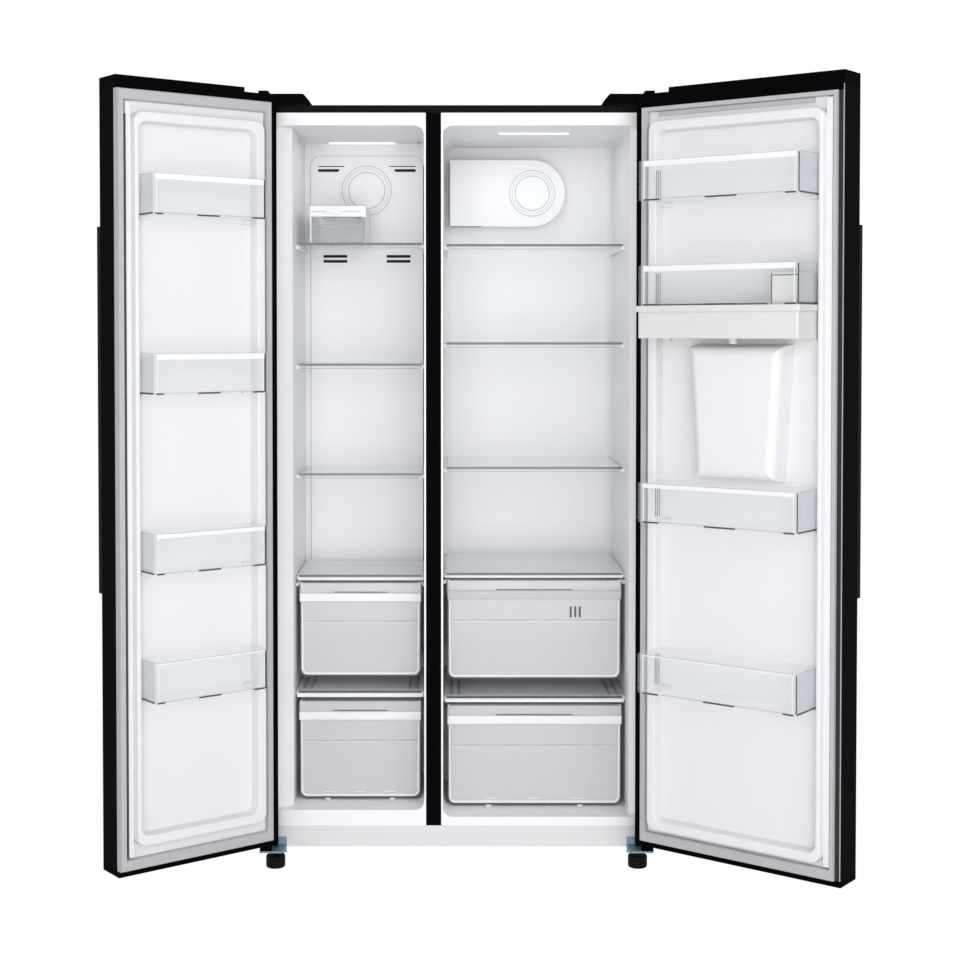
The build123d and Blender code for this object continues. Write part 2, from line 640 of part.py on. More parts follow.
ice_left = freezer.left + ICE_INSET
ice_right = ice_left + ICE_WIDTH
ice_middle = (ice_left + ice_right) / 2
ice_back = freezer.shelf_back - ICE_REAR
ice_floor = FREEZER_SHELVES[0] + GLASS / 2
ice_axis_z = ice_floor + ICE_AXIS


def ice_maker_frame():
    """Two side walls that stand on the shelf, joined by the cross pieces that carry the tray."""
    top = ice_floor + ICE_FRAME_HEIGHT
    frame = block(ice_left, ice_left + ICE_WALL, ICE_FRONT, ice_back, ice_floor, top)
    frame += block(ice_right - ICE_WALL, ice_right, ICE_FRONT, ice_back, ice_floor, top)
    for y in (ICE_FRONT, ice_back - ICE_WALL):
        frame += block(ice_left, ice_right, y, y + ICE_WALL, top - ICE_BRIDGE, top)
    return frame - rod_y(ICE_PIN + RUN, ice_middle, ICE_FRONT - PAST, ice_back + PAST, ice_axis_z)


def ice_tray():
    """Tray of ice cells on a pin at each end, with the lever that twists it over."""
    front, back = ICE_FRONT + ICE_WALL + PAST, ice_back - TRAY_REAR - PAST
    low, high = ice_axis_z - TRAY_BELOW, ice_axis_z + TRAY_ABOVE
    tray = block(ice_middle - TRAY_HALF, ice_middle + TRAY_HALF, front, back, low, high)
    cell_x = (2 * TRAY_HALF - TRAY_WEB) / TRAY_COLUMNS
    cell_y = (back - front - TRAY_WEB) / TRAY_ROWS
    for column_index in range(TRAY_COLUMNS):
        for row in range(TRAY_ROWS):
            x = ice_middle - TRAY_HALF + TRAY_WEB + column_index * cell_x
            y = front + TRAY_WEB + row * cell_y
            tray -= block(x, x + cell_x - TRAY_WEB, y, y + cell_y - TRAY_WEB, low + TRAY_WEB, high + PAST)
    boss, thick, length = LEVER
    lever_back = ICE_FRONT - GAP
    tray += rod_y(ICE_PIN, ice_middle, lever_back - thick, front + PAST, ice_axis_z)
    tray += rod_y(ICE_PIN, ice_middle, back - PAST, ice_back, ice_axis_z)
    tray += rod_y(boss, ice_middle, lever_back - thick, lever_back, ice_axis_z)
    return tray + block(ice_middle - length, ice_middle, lever_back - thick, lever_back,
                        ice_axis_z - boss / 2, ice_axis_z + boss / 2)


def ice_box():
    """Clear box under the tray that slides out over the shelf; its back wall is lower."""
    left, right = ice_left + ICE_WALL + GAP, ice_right - ICE_WALL - GAP
    bottom = ice_floor + GAP
    top = bottom + ICE_BOX_HEIGHT
    box = block(left, right, ICE_FRONT, ice_back - ICE_WALL, bottom, top)
    box -= block(left + ICE_WALL, right - ICE_WALL, ICE_FRONT + ICE_WALL, ice_back - 2 * ICE_WALL,
                 bottom + ICE_WALL, top + PAST)
    return box - block(left + ICE_WALL, right - ICE_WALL, ice_back - TRAY_REAR, ice_back,
                       bottom + ICE_BOX_REAR, top + PAST)


# Drawers

def upper_drawer(room, heights):
    return Drawer(room.left + DRAWER_INSET, room.right - DRAWER_INSET, UPPER_DRAWER_FRONT,
                  room.shelf_back - DRAWER_REAR, heights[0], heights[1], RIM[0])


def lower_drawer(room, top):
    return Drawer(room.left + DRAWER_INSET, room.right - DRAWER_INSET, LOWER_DRAWER_FRONT,
                  STEP_Y - DRAWER_REAR, room.floor + FLOOR_RIB[1] + GAP, top, 0)


freezer_upper = upper_drawer(freezer, FREEZER_UPPER)
fridge_upper = upper_drawer(fridge, FRIDGE_UPPER)
freezer_lower = lower_drawer(freezer, FREEZER_LOWER_TOP)
fridge_lower = lower_drawer(fridge, FRIDGE_LOWER_TOP)


def drawer_tub(drawer):
    """Open clear drawer with rounded lower edges; an upper one hangs by its side rims."""
    wall = DRAWER_WALL
    outer = block(drawer.left, drawer.right, drawer.front, drawer.back, drawer.bottom, drawer.top)
    outer = fillet(along(outer, Axis.Y).group_by(Axis.Z)[0], DRAWER_RADIUS)
    inner = block(drawer.left + wall, drawer.right - wall, drawer.front + wall, drawer.back - wall,
                  drawer.bottom + wall, drawer.top + PAST)
    inner = fillet(along(inner, Axis.Y).group_by(Axis.Z)[0], DRAWER_RADIUS - wall)
    tub_wall = outer - inner
    if drawer.rim:
        for x0, x1 in ((drawer.left - drawer.rim, drawer.left + wall),
                       (drawer.right - wall, drawer.right + drawer.rim)):
            tub_wall += block(x0, x1, drawer.front + RIB_SETBACK, drawer.back,
                              drawer.top - RIM[1], drawer.top)
    return tub_wall


def drawer_band(drawer):
    """White handle band fixed across the front of a drawer."""
    top = drawer.top - BAND_DROP
    band = block(drawer.left, drawer.right, drawer.front - BAND_PROUD, drawer.front, top - BAND_HEIGHT, top)
    return fillet(along(band, Axis.X).group_by(Axis.Y)[0], BAND_ROUND)


# Doors

def make_door(side, free_edge, seal_free, room):
    """Outlines of one door: its skin, gasket, raised liner frame and the well for its bins."""
    if side < 0:
        ridge_left = room.mouth_left + RIDGE_HINGE_INSET
        ridge_right = free_edge - seal_free - SEAL_WIDTH - RIDGE_SEAL
        return Door(side, -HALF, free_edge, -HALF + SEAL_HINGE, free_edge - seal_free,
                    ridge_left, ridge_right,
                    ridge_left + RIDGE_HINGE_WIDTH, ridge_right - RIDGE_FREE_WIDTH, room)
    ridge_left = free_edge + seal_free + SEAL_WIDTH + RIDGE_SEAL
    ridge_right = room.mouth_right - RIDGE_HINGE_INSET
    return Door(side, free_edge, HALF, free_edge + seal_free, HALF - SEAL_HINGE, ridge_left, ridge_right,
                ridge_left + RIDGE_FREE_WIDTH, ridge_right - RIDGE_HINGE_WIDTH, room)


freezer_door = make_door(-1, SPLIT_X - DOOR_GAP / 2, FREEZER_SEAL_FREE, freezer)
fridge_door = make_door(1, SPLIT_X + DOOR_GAP / 2, FRIDGE_SEAL_FREE, fridge)


def swung(door, shape):
    """Shape of a shut door turned open about its hinge pins."""
    pivot_x = door.side * PIVOT_X
    return Pos(pivot_x, PIVOT_Y, 0) * Rot(0, 0, door.side * DOOR_OPEN) * Pos(-pivot_x, -PIVOT_Y, 0) * shape


def door_skin_block(door, inset, back, z0, z1):
    """Door outline with its rounded front edges, drawn in by a wall."""
    outer = block(door.left + inset, door.right - inset, DOOR_FRONT + inset, back, z0, z1)
    return fillet(front_edges(outer), DOOR_EDGE - inset)


def door_shell(door):
    """Painted steel skin: front, both sides and narrow returns round the liner."""
    skin = door_skin_block(door, 0, DOOR_BACK, SEAL_BOTTOM, SEAL_TOP)
    skin -= door_skin_block(door, SHEET, DOOR_BACK - SHEET, SEAL_BOTTOM - PAST, SEAL_TOP + PAST)
    return skin - block(door.seal_left, door.seal_right, DOOR_BACK - SHEET - PAST, DOOR_BACK + PAST,
                        SEAL_BOTTOM - PAST, SEAL_TOP + PAST)


def door_caps(door):
    """Plastic end caps; both hold a hinge pin, and the lower one has a boss over the bracket."""
    pivot_x = door.side * PIVOT_X
    hinge_edge = door.side * HALF
    notch_edge = hinge_edge - door.side * NOTCH_LENGTH
    top = door_skin_block(door, 0, DOOR_BACK, SEAL_TOP, DOOR_TOP)
    top -= block(min(hinge_edge, notch_edge), max(hinge_edge, notch_edge), DOOR_FRONT, DOOR_BACK,
                 NOTCH_TOP, DOOR_TOP)
    pocket = block(door.left + CAP_WALL, door.right - CAP_WALL, DOOR_FRONT + DOOR_EDGE, DOOR_BACK - CAP_WALL,
                   SEAL_TOP, NOTCH_TOP - CAP_WALL)
    top -= pocket - rod_z(2 * PIN, pivot_x, PIVOT_Y, SEAL_TOP, NOTCH_TOP)
    top -= rod_z(PIN + RUN, pivot_x, PIVOT_Y, NOTCH_TOP - PIN_DEPTH, NOTCH_TOP)
    low = door_skin_block(door, 0, DOOR_BACK, DOOR_BOTTOM, SEAL_BOTTOM)
    low += rod_z(BOSS, pivot_x, PIVOT_Y, BRACKET_TOP + GAP, DOOR_BOTTOM + PAST)
    low -= rod_z(PIN + RUN, pivot_x, PIVOT_Y, BRACKET_TOP, SEAL_BOTTOM - CAP_WALL)
    return Compound([top, low])


def ridge_frame(door, wall):
    """Raised rounded frame of a door liner, shrunk on every side by a wall."""
    z0, z1 = door.room.floor + RIDGE_END_INSET, CEILING - RIDGE_END_INSET
    end = RIDGE_END_WIDTH
    frame = raised(door.ridge_left + wall, door.ridge_right - wall, z0 + wall, z1 - wall,
                   DOOR_BACK, RIDGE_TOP - wall, RIDGE_CORNER - wall, RIDGE_TAPER)
    return frame - raised(door.well_left - wall, door.well_right + wall, z0 + end - wall, z1 - end + wall,
                          DOOR_BACK, RIDGE_TOP + PAST, WELL_CORNER, -RIDGE_TAPER)


def bin_lugs(door, bottoms):
    """Pairs of lugs on the door liner, one pair under each bin."""
    width, depth, height = LUG
    lugs = []
    for bottom in bottoms:
        for x in (door.well_left + BIN_SIDE + BIN_CORNER, door.well_right - BIN_SIDE - BIN_CORNER - width):
            lugs.append(block(x, x + width, DOOR_BACK - LINER / 2, DOOR_BACK + depth,
                              bottom - GAP - height, bottom - GAP))
    return lugs


def door_liner(door, bottoms):
    """Formed white liner of a door: flat rim under the gasket, hollow raised frame, bin lugs."""
    sheet = block(door.seal_left, door.seal_right, DOOR_BACK - LINER, DOOR_BACK, SEAL_BOTTOM, SEAL_TOP)
    frame = ridge_frame(door, 0)
    crest = frame.faces().filter_by(Axis.Y).sort_by(Axis.Y)[-1].edges()
    sheet += fillet(crest, RIDGE_ROUND)
    sheet -= Pos(0, -LINER, 0) * ridge_frame(door, LINER)
    sheet -= ridge_frame(door, LINER)
    for lug in bin_lugs(door, bottoms):
        sheet += lug
    return sheet


def door_foam(door):
    return door_skin_block(door, SHEET, DOOR_BACK - LINER, SEAL_BOTTOM, SEAL_TOP)


def seal_ring(door, inset, width, y0, y1):
    x0, x1 = door.seal_left + inset, door.seal_right - inset
    z0, z1 = SEAL_BOTTOM + inset, SEAL_TOP - inset
    return (block(x0, x1, y0, y1, z0, z1)
            - block(x0 + width, x1 - width, y0 - PAST, y1 + PAST, z0 + width, z1 - width))


def door_gasket(door):
    """Magnetic gasket: a wide foot on the liner's rim and a taller tube that meets the cabinet."""
    return (seal_ring(door, 0, SEAL_WIDTH, DOOR_BACK, DOOR_BACK + SEAL_FOOT)
            + seal_ring(door, SEAL_TUBE_INSET, SEAL_TUBE, DOOR_BACK, -GAP))


def door_handle(door):
    """Tall pull at the free edge: a base on the door, an outer web, a front plate and two closed ends."""
    bottom, top = HANDLE
    wall = HANDLE_WALL
    free_edge = door.right if door.side < 0 else door.left
    web_edge = free_edge + door.side * wall
    inner_edge = free_edge + door.side * HANDLE_WIDTH
    base_edge = free_edge + door.side * DOOR_EDGE
    front = DOOR_FRONT - HANDLE_PROUD

    def upright(edge_0, edge_1, y0, y1, z0, z1):
        return block(min(edge_0, edge_1), max(edge_0, edge_1), y0, y1, z0, z1)

    base = upright(free_edge, inner_edge, DOOR_FRONT - wall, DOOR_FRONT, bottom, top)
    filler = upright(free_edge, base_edge, DOOR_FRONT, DOOR_FRONT + DOOR_EDGE, bottom, top)
    base += filler - door_skin_block(door, 0, DOOR_BACK, bottom - PAST, top + PAST)
    web = upright(free_edge, web_edge, front, DOOR_FRONT - wall, bottom, top)
    web = chamfer(front_edges(web).sort_by(Axis.X)[-1 if door.side < 0 else 0], wall / 2)
    plate = upright(web_edge, inner_edge, front, front + wall, bottom, top)
    plate = chamfer(front_edges(plate).sort_by(Axis.X)[0 if door.side < 0 else -1], wall / 2)
    ends = [upright(web_edge, inner_edge, front + wall, DOOR_FRONT - wall, z, z + wall)
            for z in (bottom, top - wall)]
    return Compound([base, web, plate, *ends])


def bin_outline(door, depth, bottom, inset):
    """Bin shape with round front corners and lower edges, drawn in by a wall."""
    x0, x1 = door.well_left + BIN_SIDE + inset, door.well_right - BIN_SIDE - inset
    y0 = DOOR_BACK + BIN_BACK + inset
    y1 = DOOR_BACK + BIN_BACK + depth - inset
    top = bottom + BIN_HEIGHT + (PAST if inset else 0)
    shape = block(x0, x1, y0, y1, bottom + inset, top)
    shape = fillet(along(shape, Axis.Z).group_by(Axis.Y)[-1], BIN_CORNER - inset)
    return fillet(shape.faces().sort_by(Axis.Z)[0].edges(), BIN_HEEL - inset)


def door_bin(door, depth, bottom):
    """Clear open bin that stands on two lugs and lifts out upwards."""
    return bin_outline(door, depth, bottom, 0) - bin_outline(door, depth, bottom, BIN_WALL)


# Water tank and dispenser

tank_left = fridge_door.well_left + BIN_SIDE
tank_right = fridge_door.well_right - BIN_SIDE
tank_back = DOOR_BACK + BIN_BACK
tank_front = tank_back + FRIDGE_BIN_DEPTH
tank_top = FRIDGE_BINS[1] - GAP
tank_bottom = tank_top - TANK_HEIGHT
neck_left = tank_left + NECK_INSET
neck_right = neck_left + NECK[0]
neck_back = tank_back + NECK_INSET + 3 * LID_PIN
neck_front = neck_back + NECK[1]
neck_top = tank_top + NECK[2]
lid_axis_y = neck_back - LID_PIN - GAP
lid_axis_z = neck_top - LID_PIN
niche_left = NICHE_MIDDLE - NICHE_WIDTH / 2
niche_right = NICHE_MIDDLE + NICHE_WIDTH / 2
niche_back = DOOR_BACK + NICHE_PAST
bulge_top = NICHE_TOP + BULGE_OVER
bulge_bottom = NICHE_BOTTOM - BULGE_OVER
paddle_z = NICHE_TOP - PADDLE_DROP
paddle_y = niche_back - PADDLE_OFF
paddle_length = paddle_z - NICHE_BOTTOM - PADDLE_CLEAR


def second_bin():
    """Bin over the water tank, with a hole in its floor for the tank's fill box."""
    clear = BIN_SIDE / 2
    return door_bin(fridge_door, FRIDGE_BIN_DEPTH, FRIDGE_BINS[1]) - block(
        neck_left - clear, neck_right + clear, neck_back - NECK_INSET, neck_front + clear,
        FRIDGE_BINS[1] - PAST, FRIDGE_BINS[1] + BIN_WALL + PAST)


def water_tank():
    """Flat tank across the door with a tall open fill box, two lid ears and an outlet underneath."""
    wall = TANK_WALL
    tank = block(tank_left, tank_right, tank_back, tank_front, tank_bottom, tank_top)
    tank = fillet(along(tank, Axis.Z).group_by(Axis.Y)[-1], BIN_CORNER)
    over, height = TANK_LIP
    lip = block(tank_left - over, tank_right + over, RIDGE_TOP + BIN_SIDE, tank_front + over,
                tank_top - height, tank_top)
    tank += fillet(along(lip, Axis.Z).group_by(Axis.Y)[-1], over)
    tank += block(neck_left, neck_right, neck_back, neck_front, tank_top - wall, neck_top)
    tank -= block(tank_left + wall, tank_right - wall, tank_back + wall, tank_front - BIN_CORNER,
                  tank_bottom + wall, tank_top - wall)
    tank -= block(neck_left + wall, neck_right - wall, neck_back + wall, neck_front - wall,
                  tank_top - 2 * wall, neck_top + PAST)
    for x in (neck_left, neck_right - wall):
        tank += block(x, x + wall, lid_axis_y - 2 * LID_PIN, neck_back + PAST,
                      lid_axis_z - 3 * LID_PIN, neck_top - LID)
    tank -= rod_x(LID_PIN + RUN, neck_left - PAST, neck_right + PAST, lid_axis_y, lid_axis_z - LID_PIN)
    return tank + rod_z(TAP[0], NICHE_MIDDLE, (tank_back + tank_front) / 2,
                        tank_bottom - TAP[1], tank_bottom + PAST)


def tank_fill_lid():
    """Flap over the fill box, on a pin along its back edge."""
    pin_z = lid_axis_z - LID_PIN
    knuckle_0, knuckle_1 = neck_left + TANK_WALL + GAP, neck_right - TANK_WALL - GAP
    lid = block(neck_left, neck_right, neck_back, neck_front, neck_top + GAP, neck_top + GAP + LID)
    lid += block(knuckle_0, knuckle_1, lid_axis_y - LID_PIN, neck_back + PAST,
                 neck_top + GAP, neck_top + GAP + LID)
    lid += block(knuckle_0, knuckle_1, lid_axis_y - LID_PIN, neck_back - GAP, pin_z, neck_top + GAP + LID)
    lid += rod_x(LID_PIN, neck_left, neck_right, lid_axis_y, pin_z)
    return lid


def bulge(wall):
    """Raised pocket of the liner round the dispenser, narrower towards its bottom."""
    half = NICHE_WIDTH / 2 + BULGE_SIDE - wall
    low_half = half - BULGE_NARROW
    z0, z1 = bulge_bottom + wall, bulge_top - wall
    outline = [(NICHE_MIDDLE - low_half, DOOR_BACK, z0), (NICHE_MIDDLE + low_half, DOOR_BACK, z0),
               (NICHE_MIDDLE + half, DOOR_BACK, z1), (NICHE_MIDDLE - half, DOOR_BACK, z1)]
    face = make_face(Polyline(*outline, close=True))
    pocket = extrude(face, amount=BULGE_PROUD - wall, dir=(0, 1, 0), taper=BULGE_TAPER)
    return fillet(pocket.faces().sort_by(Axis.Y)[-1].edges(), BULGE_ROUND - wall)


def fridge_door_shell():
    return door_shell(fridge_door) - niche_block(0, DOOR_FRONT - PAST, niche_back)


def fridge_door_liner():
    """Fridge door liner with the hollow bulge round the dispenser."""
    sheet = door_liner(fridge_door, [z for z in FRIDGE_BINS if z != FRIDGE_BINS[1]])
    for lug in bin_lugs(fridge_door, [tank_bottom]):
        sheet += lug
    sheet += bulge(0)
    return sheet - bulge(LINER) - Pos(0, -LINER - PAST, 0) * bulge(LINER)


def fridge_door_foam():
    return door_foam(fridge_door) - niche_block(0, DOOR_FRONT - PAST, niche_back)


def niche_block(inset, y0, y1):
    return block(niche_left + inset, niche_right - inset, y0, y1, NICHE_BOTTOM + inset, NICHE_TOP - inset)


def dispenser_niche():
    """Open pocket in the door's front with a rim, a spout and two ears for the paddle."""
    rim, thick = BEZEL
    pocket = niche_block(-rim, DOOR_FRONT - thick, DOOR_FRONT) + niche_block(0, DOOR_FRONT - PAST, niche_back)
    pocket -= niche_block(NICHE_WALL, DOOR_FRONT - thick - PAST, niche_back - NICHE_WALL)
    spout_y = (DOOR_FRONT + paddle_y) / 2
    pocket += rod_z(SPOUT[0], NICHE_MIDDLE, spout_y,
                    NICHE_TOP - NICHE_WALL - SPOUT[1], NICHE_TOP - NICHE_WALL / 2)
    for side in (-1, 1):
        x = NICHE_MIDDLE + side * (PADDLE_WIDTH / 2 + GAP + PADDLE_EAR / 2)
        pocket += block(x - PADDLE_EAR / 2, x + PADDLE_EAR / 2,
                        paddle_y - 2 * PADDLE_PIN, niche_back - NICHE_WALL / 2,
                        paddle_z - 2 * PADDLE_PIN, paddle_z + 2 * PADDLE_PIN)
    return pocket - rod_x(PADDLE_PIN + RUN, niche_left + NICHE_WALL, niche_right - NICHE_WALL,
                          paddle_y, paddle_z)


def dispenser_paddle():
    """Flat paddle that hangs from a cross pin and is pushed in by a glass."""
    half = PADDLE_WIDTH / 2
    paddle = block(NICHE_MIDDLE - half, NICHE_MIDDLE + half, paddle_y - PADDLE, paddle_y,
                   paddle_z - paddle_length, paddle_z)
    paddle = fillet(along(paddle, Axis.Y).group_by(Axis.Z)[0], PADDLE_ROUND)
    pin_end = half + GAP + PADDLE_EAR
    paddle += rod_x(2 * PADDLE_PIN, NICHE_MIDDLE - half, NICHE_MIDDLE + half, paddle_y, paddle_z)
    return paddle + rod_x(PADDLE_PIN, NICHE_MIDDLE - pin_end, NICHE_MIDDLE + pin_end, paddle_y, paddle_z)


# Hinges, covers and screws

tongue_bottom = NOTCH_TOP + GAP
tongue_top = tongue_bottom + PLATE


def screw(x, y, z, axis):
    """Pan head screw whose head sits at a point, with its shank along an axis."""
    head, shank = SCREW_HEAD, SCREW_SHANK
    body = Pos(0, 0, head[1] / 2) * Cylinder(head[0], head[1])
    body += Pos(0, 0, -shank[1] / 2) * Cylinder(shank[0], shank[1])
    turn = Rot(0, 0, 0) if axis == Axis.Z else Rot(90, 0, 0)
    return Pos(x, y, z) * turn * body


def upper_screws():
    """Three screws through each upper hinge plate."""
    width, depth = UPPER_PLATE
    inset = 3 * SCREW_HEAD[0]
    rear = UPPER_PLATE_BACK + depth - inset
    screws = []
    for side in (-1, 1):
        edge = HALF - UPPER_PLATE_SIDE
        inner = edge - width + inset
        for x, y in ((edge - inset, rear), (inner, rear), (inner, UPPER_PLATE_BACK + inset)):
            screws.append(screw(side * x, y, CASE_TOP + PLATE, Axis.Z))
    return screws


def lower_screws():
    """Two screws through each lower bracket's upright flange."""
    inset = 2 * SCREW_HEAD[0]
    z = (BRACKET_TOP + BRACKET_FLANGE[1]) / 2
    edge = HALF - BRACKET_SIDE
    return [screw(side * x, -BRACKET_UPRIGHT, z, Axis.Y) for side in (-1, 1)
            for x in (edge - inset, edge - BRACKET_WIDTH + inset)]


def hinge_screws():
    return Compound(upper_screws() + lower_screws())


def upper_hinge_plates():
    """Cranked steel plates on the case's top that reach over the doors, each with its pin."""
    width, depth = UPPER_PLATE
    edge = HALF - UPPER_PLATE_SIDE
    plates = []
    for side in (-1, 1):
        back = UPPER_PLATE_BACK
        plate = mirrored_block(side, edge - width, edge, back, back + depth, CASE_TOP, CASE_TOP + PLATE)
        tongue_0, tongue_1 = PIVOT_X - TONGUE, PIVOT_X + TONGUE / 2
        plate += mirrored_block(side, tongue_0, tongue_1, back, back + PLATE, CASE_TOP, tongue_top)
        plate += mirrored_block(side, tongue_0, tongue_1, PIVOT_Y, back + PLATE, tongue_bottom, tongue_top)
        plate += rod_z(TONGUE, side * PIVOT_X, PIVOT_Y, tongue_bottom, tongue_top)
        plate += rod_z(PIN, side * PIVOT_X, PIVOT_Y, NOTCH_TOP - PIN_DEPTH + PAST, tongue_top)
        for piece in upper_screws():
            plate -= piece
        plates.append(plate)
    return Compound(plates)


def cover_outline(inset):
    """Front view of a hinge cover: flat top, upright outer end and sloped inner end."""
    outer, inner = HALF - COVER_SIDE - inset, HALF - COVER_SIDE - COVER_LENGTH + inset
    return [(outer, CASE_TOP), (outer, DOOR_TOP - inset), (inner + COVER_SLOPE, DOOR_TOP - inset),
            (inner, CASE_TOP + COVER_KNEE), (inner, CASE_TOP)]


def hinge_covers():
    """Hollow plastic covers over the upper hinges, with a tongue over each hinge pin."""
    covers = []
    front, back = COVER_FRONT, COVER_FRONT + COVER_DEPTH
    reach = TONGUE + COVER_WALL + GAP
    outer = HALF - COVER_SIDE
    for side in (-1, 1):
        cover = panel([(side * x, z) for x, z in cover_outline(0)], front, back)
        cover += mirrored_block(side, PIVOT_X - reach, outer, PIVOT_Y - reach, front + PAST,
                                tongue_bottom, DOOR_TOP)
        cover -= panel([(side * x, z) for x, z in cover_outline(COVER_WALL)],
                       front + COVER_WALL, back - COVER_WALL)
        cover -= mirrored_block(side, PIVOT_X - TONGUE - GAP, outer - COVER_WALL, PIVOT_Y - TONGUE - GAP, 0,
                                tongue_bottom - PAST, DOOR_TOP - COVER_WALL)
        corner = [(outer + PAST, front - PAST), (outer - COVER_RELIEF - PAST, front - PAST),
                  (outer + PAST, front + COVER_RELIEF + PAST)]
        cover -= column([(side * x, y) for x, y in corner], CASE_TOP - PAST, tongue_bottom)
        covers.append(cover)
    return Compound(covers)


def lower_hinge_brackets():
    """Zinc plated brackets under the doors: a level plate with the pin and a foot's bore, and a flange."""
    low, high = BRACKET_FLANGE
    edge = HALF - BRACKET_SIDE
    brackets = []
    for side in (-1, 1):
        bracket = mirrored_block(side, edge - BRACKET_WIDTH, edge, PIVOT_Y - BOSS, 0,
                                 BRACKET_TOP - PLATE, BRACKET_TOP)
        bracket = fillet(front_edges(bracket), BOSS / 2)
        bracket += mirrored_block(side, edge - BRACKET_WIDTH, edge, -BRACKET_UPRIGHT, 0, low, high)
        bracket += rod_z(PIN, side * PIVOT_X, PIVOT_Y, BRACKET_TOP - PLATE, SEAL_BOTTOM - CAP_WALL - PAST)
        bracket -= rod_z(FOOT_STUD[0] + RUN, side * FOOT_X, FOOT_Y,
                         BRACKET_TOP - PLATE - PAST, BRACKET_TOP + PAST)
        for piece in lower_screws():
            bracket -= piece
        brackets.append(bracket)
    return Compound(brackets)


# Feet, rollers and machine room

def levelling_foot(side):
    """Round foot on a stud that turns in the bracket's plate."""
    foot = rod_z(FOOT_RADIUS, side * FOOT_X, FOOT_Y, 0, FOOT_HEIGHT)
    foot = fillet(foot.edges().filter_by(GeomType.CIRCLE), FOOT_ROUND)
    return foot + rod_z(FOOT_STUD[0], side * FOOT_X, FOOT_Y, FOOT_HEIGHT - PAST, FOOT_STUD[1])


def rear_rollers():
    """Two rollers on one axle across the back."""
    radius, width = ROLLER
    reach = ROLLER_X + width / 2 + PAST + EAR + PAST
    axle = rod_x(AXLE, -reach, reach, ROLLER_Y, radius)
    for side in (-1, 1):
        axle += rod_x(radius, side * ROLLER_X - width / 2, side * ROLLER_X + width / 2, ROLLER_Y, radius)
    return axle


def compressor():
    """Welded pot on a base plate with four rubber feet, on the pan of the machine room."""
    radius, height = COMPRESSOR
    leg_radius, leg = COMPRESSOR_LEG
    half_x, half_y, thick = COMPRESSOR_BASE
    y = (MACHINE_FRONT + MACHINE_SLOPE + CASE_DEPTH) / 2
    z = PAN_TOP + leg
    pot = rod_z(radius, COMPRESSOR_X, y, z, z + height)
    pot = fillet(pot.edges().filter_by(GeomType.CIRCLE).sort_by(Axis.Z)[-1], COMPRESSOR_DOME)
    pot += block(COMPRESSOR_X - half_x, COMPRESSOR_X + half_x, y - half_y, y + half_y, z, z + thick)
    for x in (COMPRESSOR_X - half_x + leg_radius, COMPRESSOR_X + half_x - leg_radius):
        for leg_y in (y - half_y + leg_radius, y + half_y - leg_radius):
            pot += rod_z(leg_radius, x, leg_y, PAN_TOP, z + PAST)
    return pot


def machine_room_cover():
    """Rear cover of the machine room with three banks of slots and the gland for the mains lead."""
    length, height, pitch = GRILLE
    cover = block(-HALF + SHEET, HALF - SHEET, CASE_DEPTH - SHEET, CASE_DEPTH, PAN_TOP, MACHINE_TOP - SHEET)
    middle = (PAN_TOP + MACHINE_TOP) / 2
    bank = CASE_WIDTH / 4
    for x in (-bank, 0, bank):
        for row in range(GRILLE_ROWS):
            z = middle + (row - (GRILLE_ROWS - 1) / 2) * pitch
            cover -= block(x - length / 2, x + length / 2, CASE_DEPTH - SHEET - PAST, CASE_DEPTH + PAST,
                           z - height / 2, z + height / 2)
    radius, reach, bore = GLAND
    cover += rod_y(radius, GLAND_X, CASE_DEPTH - SHEET, CASE_DEPTH + reach, GLAND_Z)
    return cover - rod_y(bore, GLAND_X, CASE_DEPTH - SHEET - PAST, CASE_DEPTH + reach + PAST, GLAND_Z)


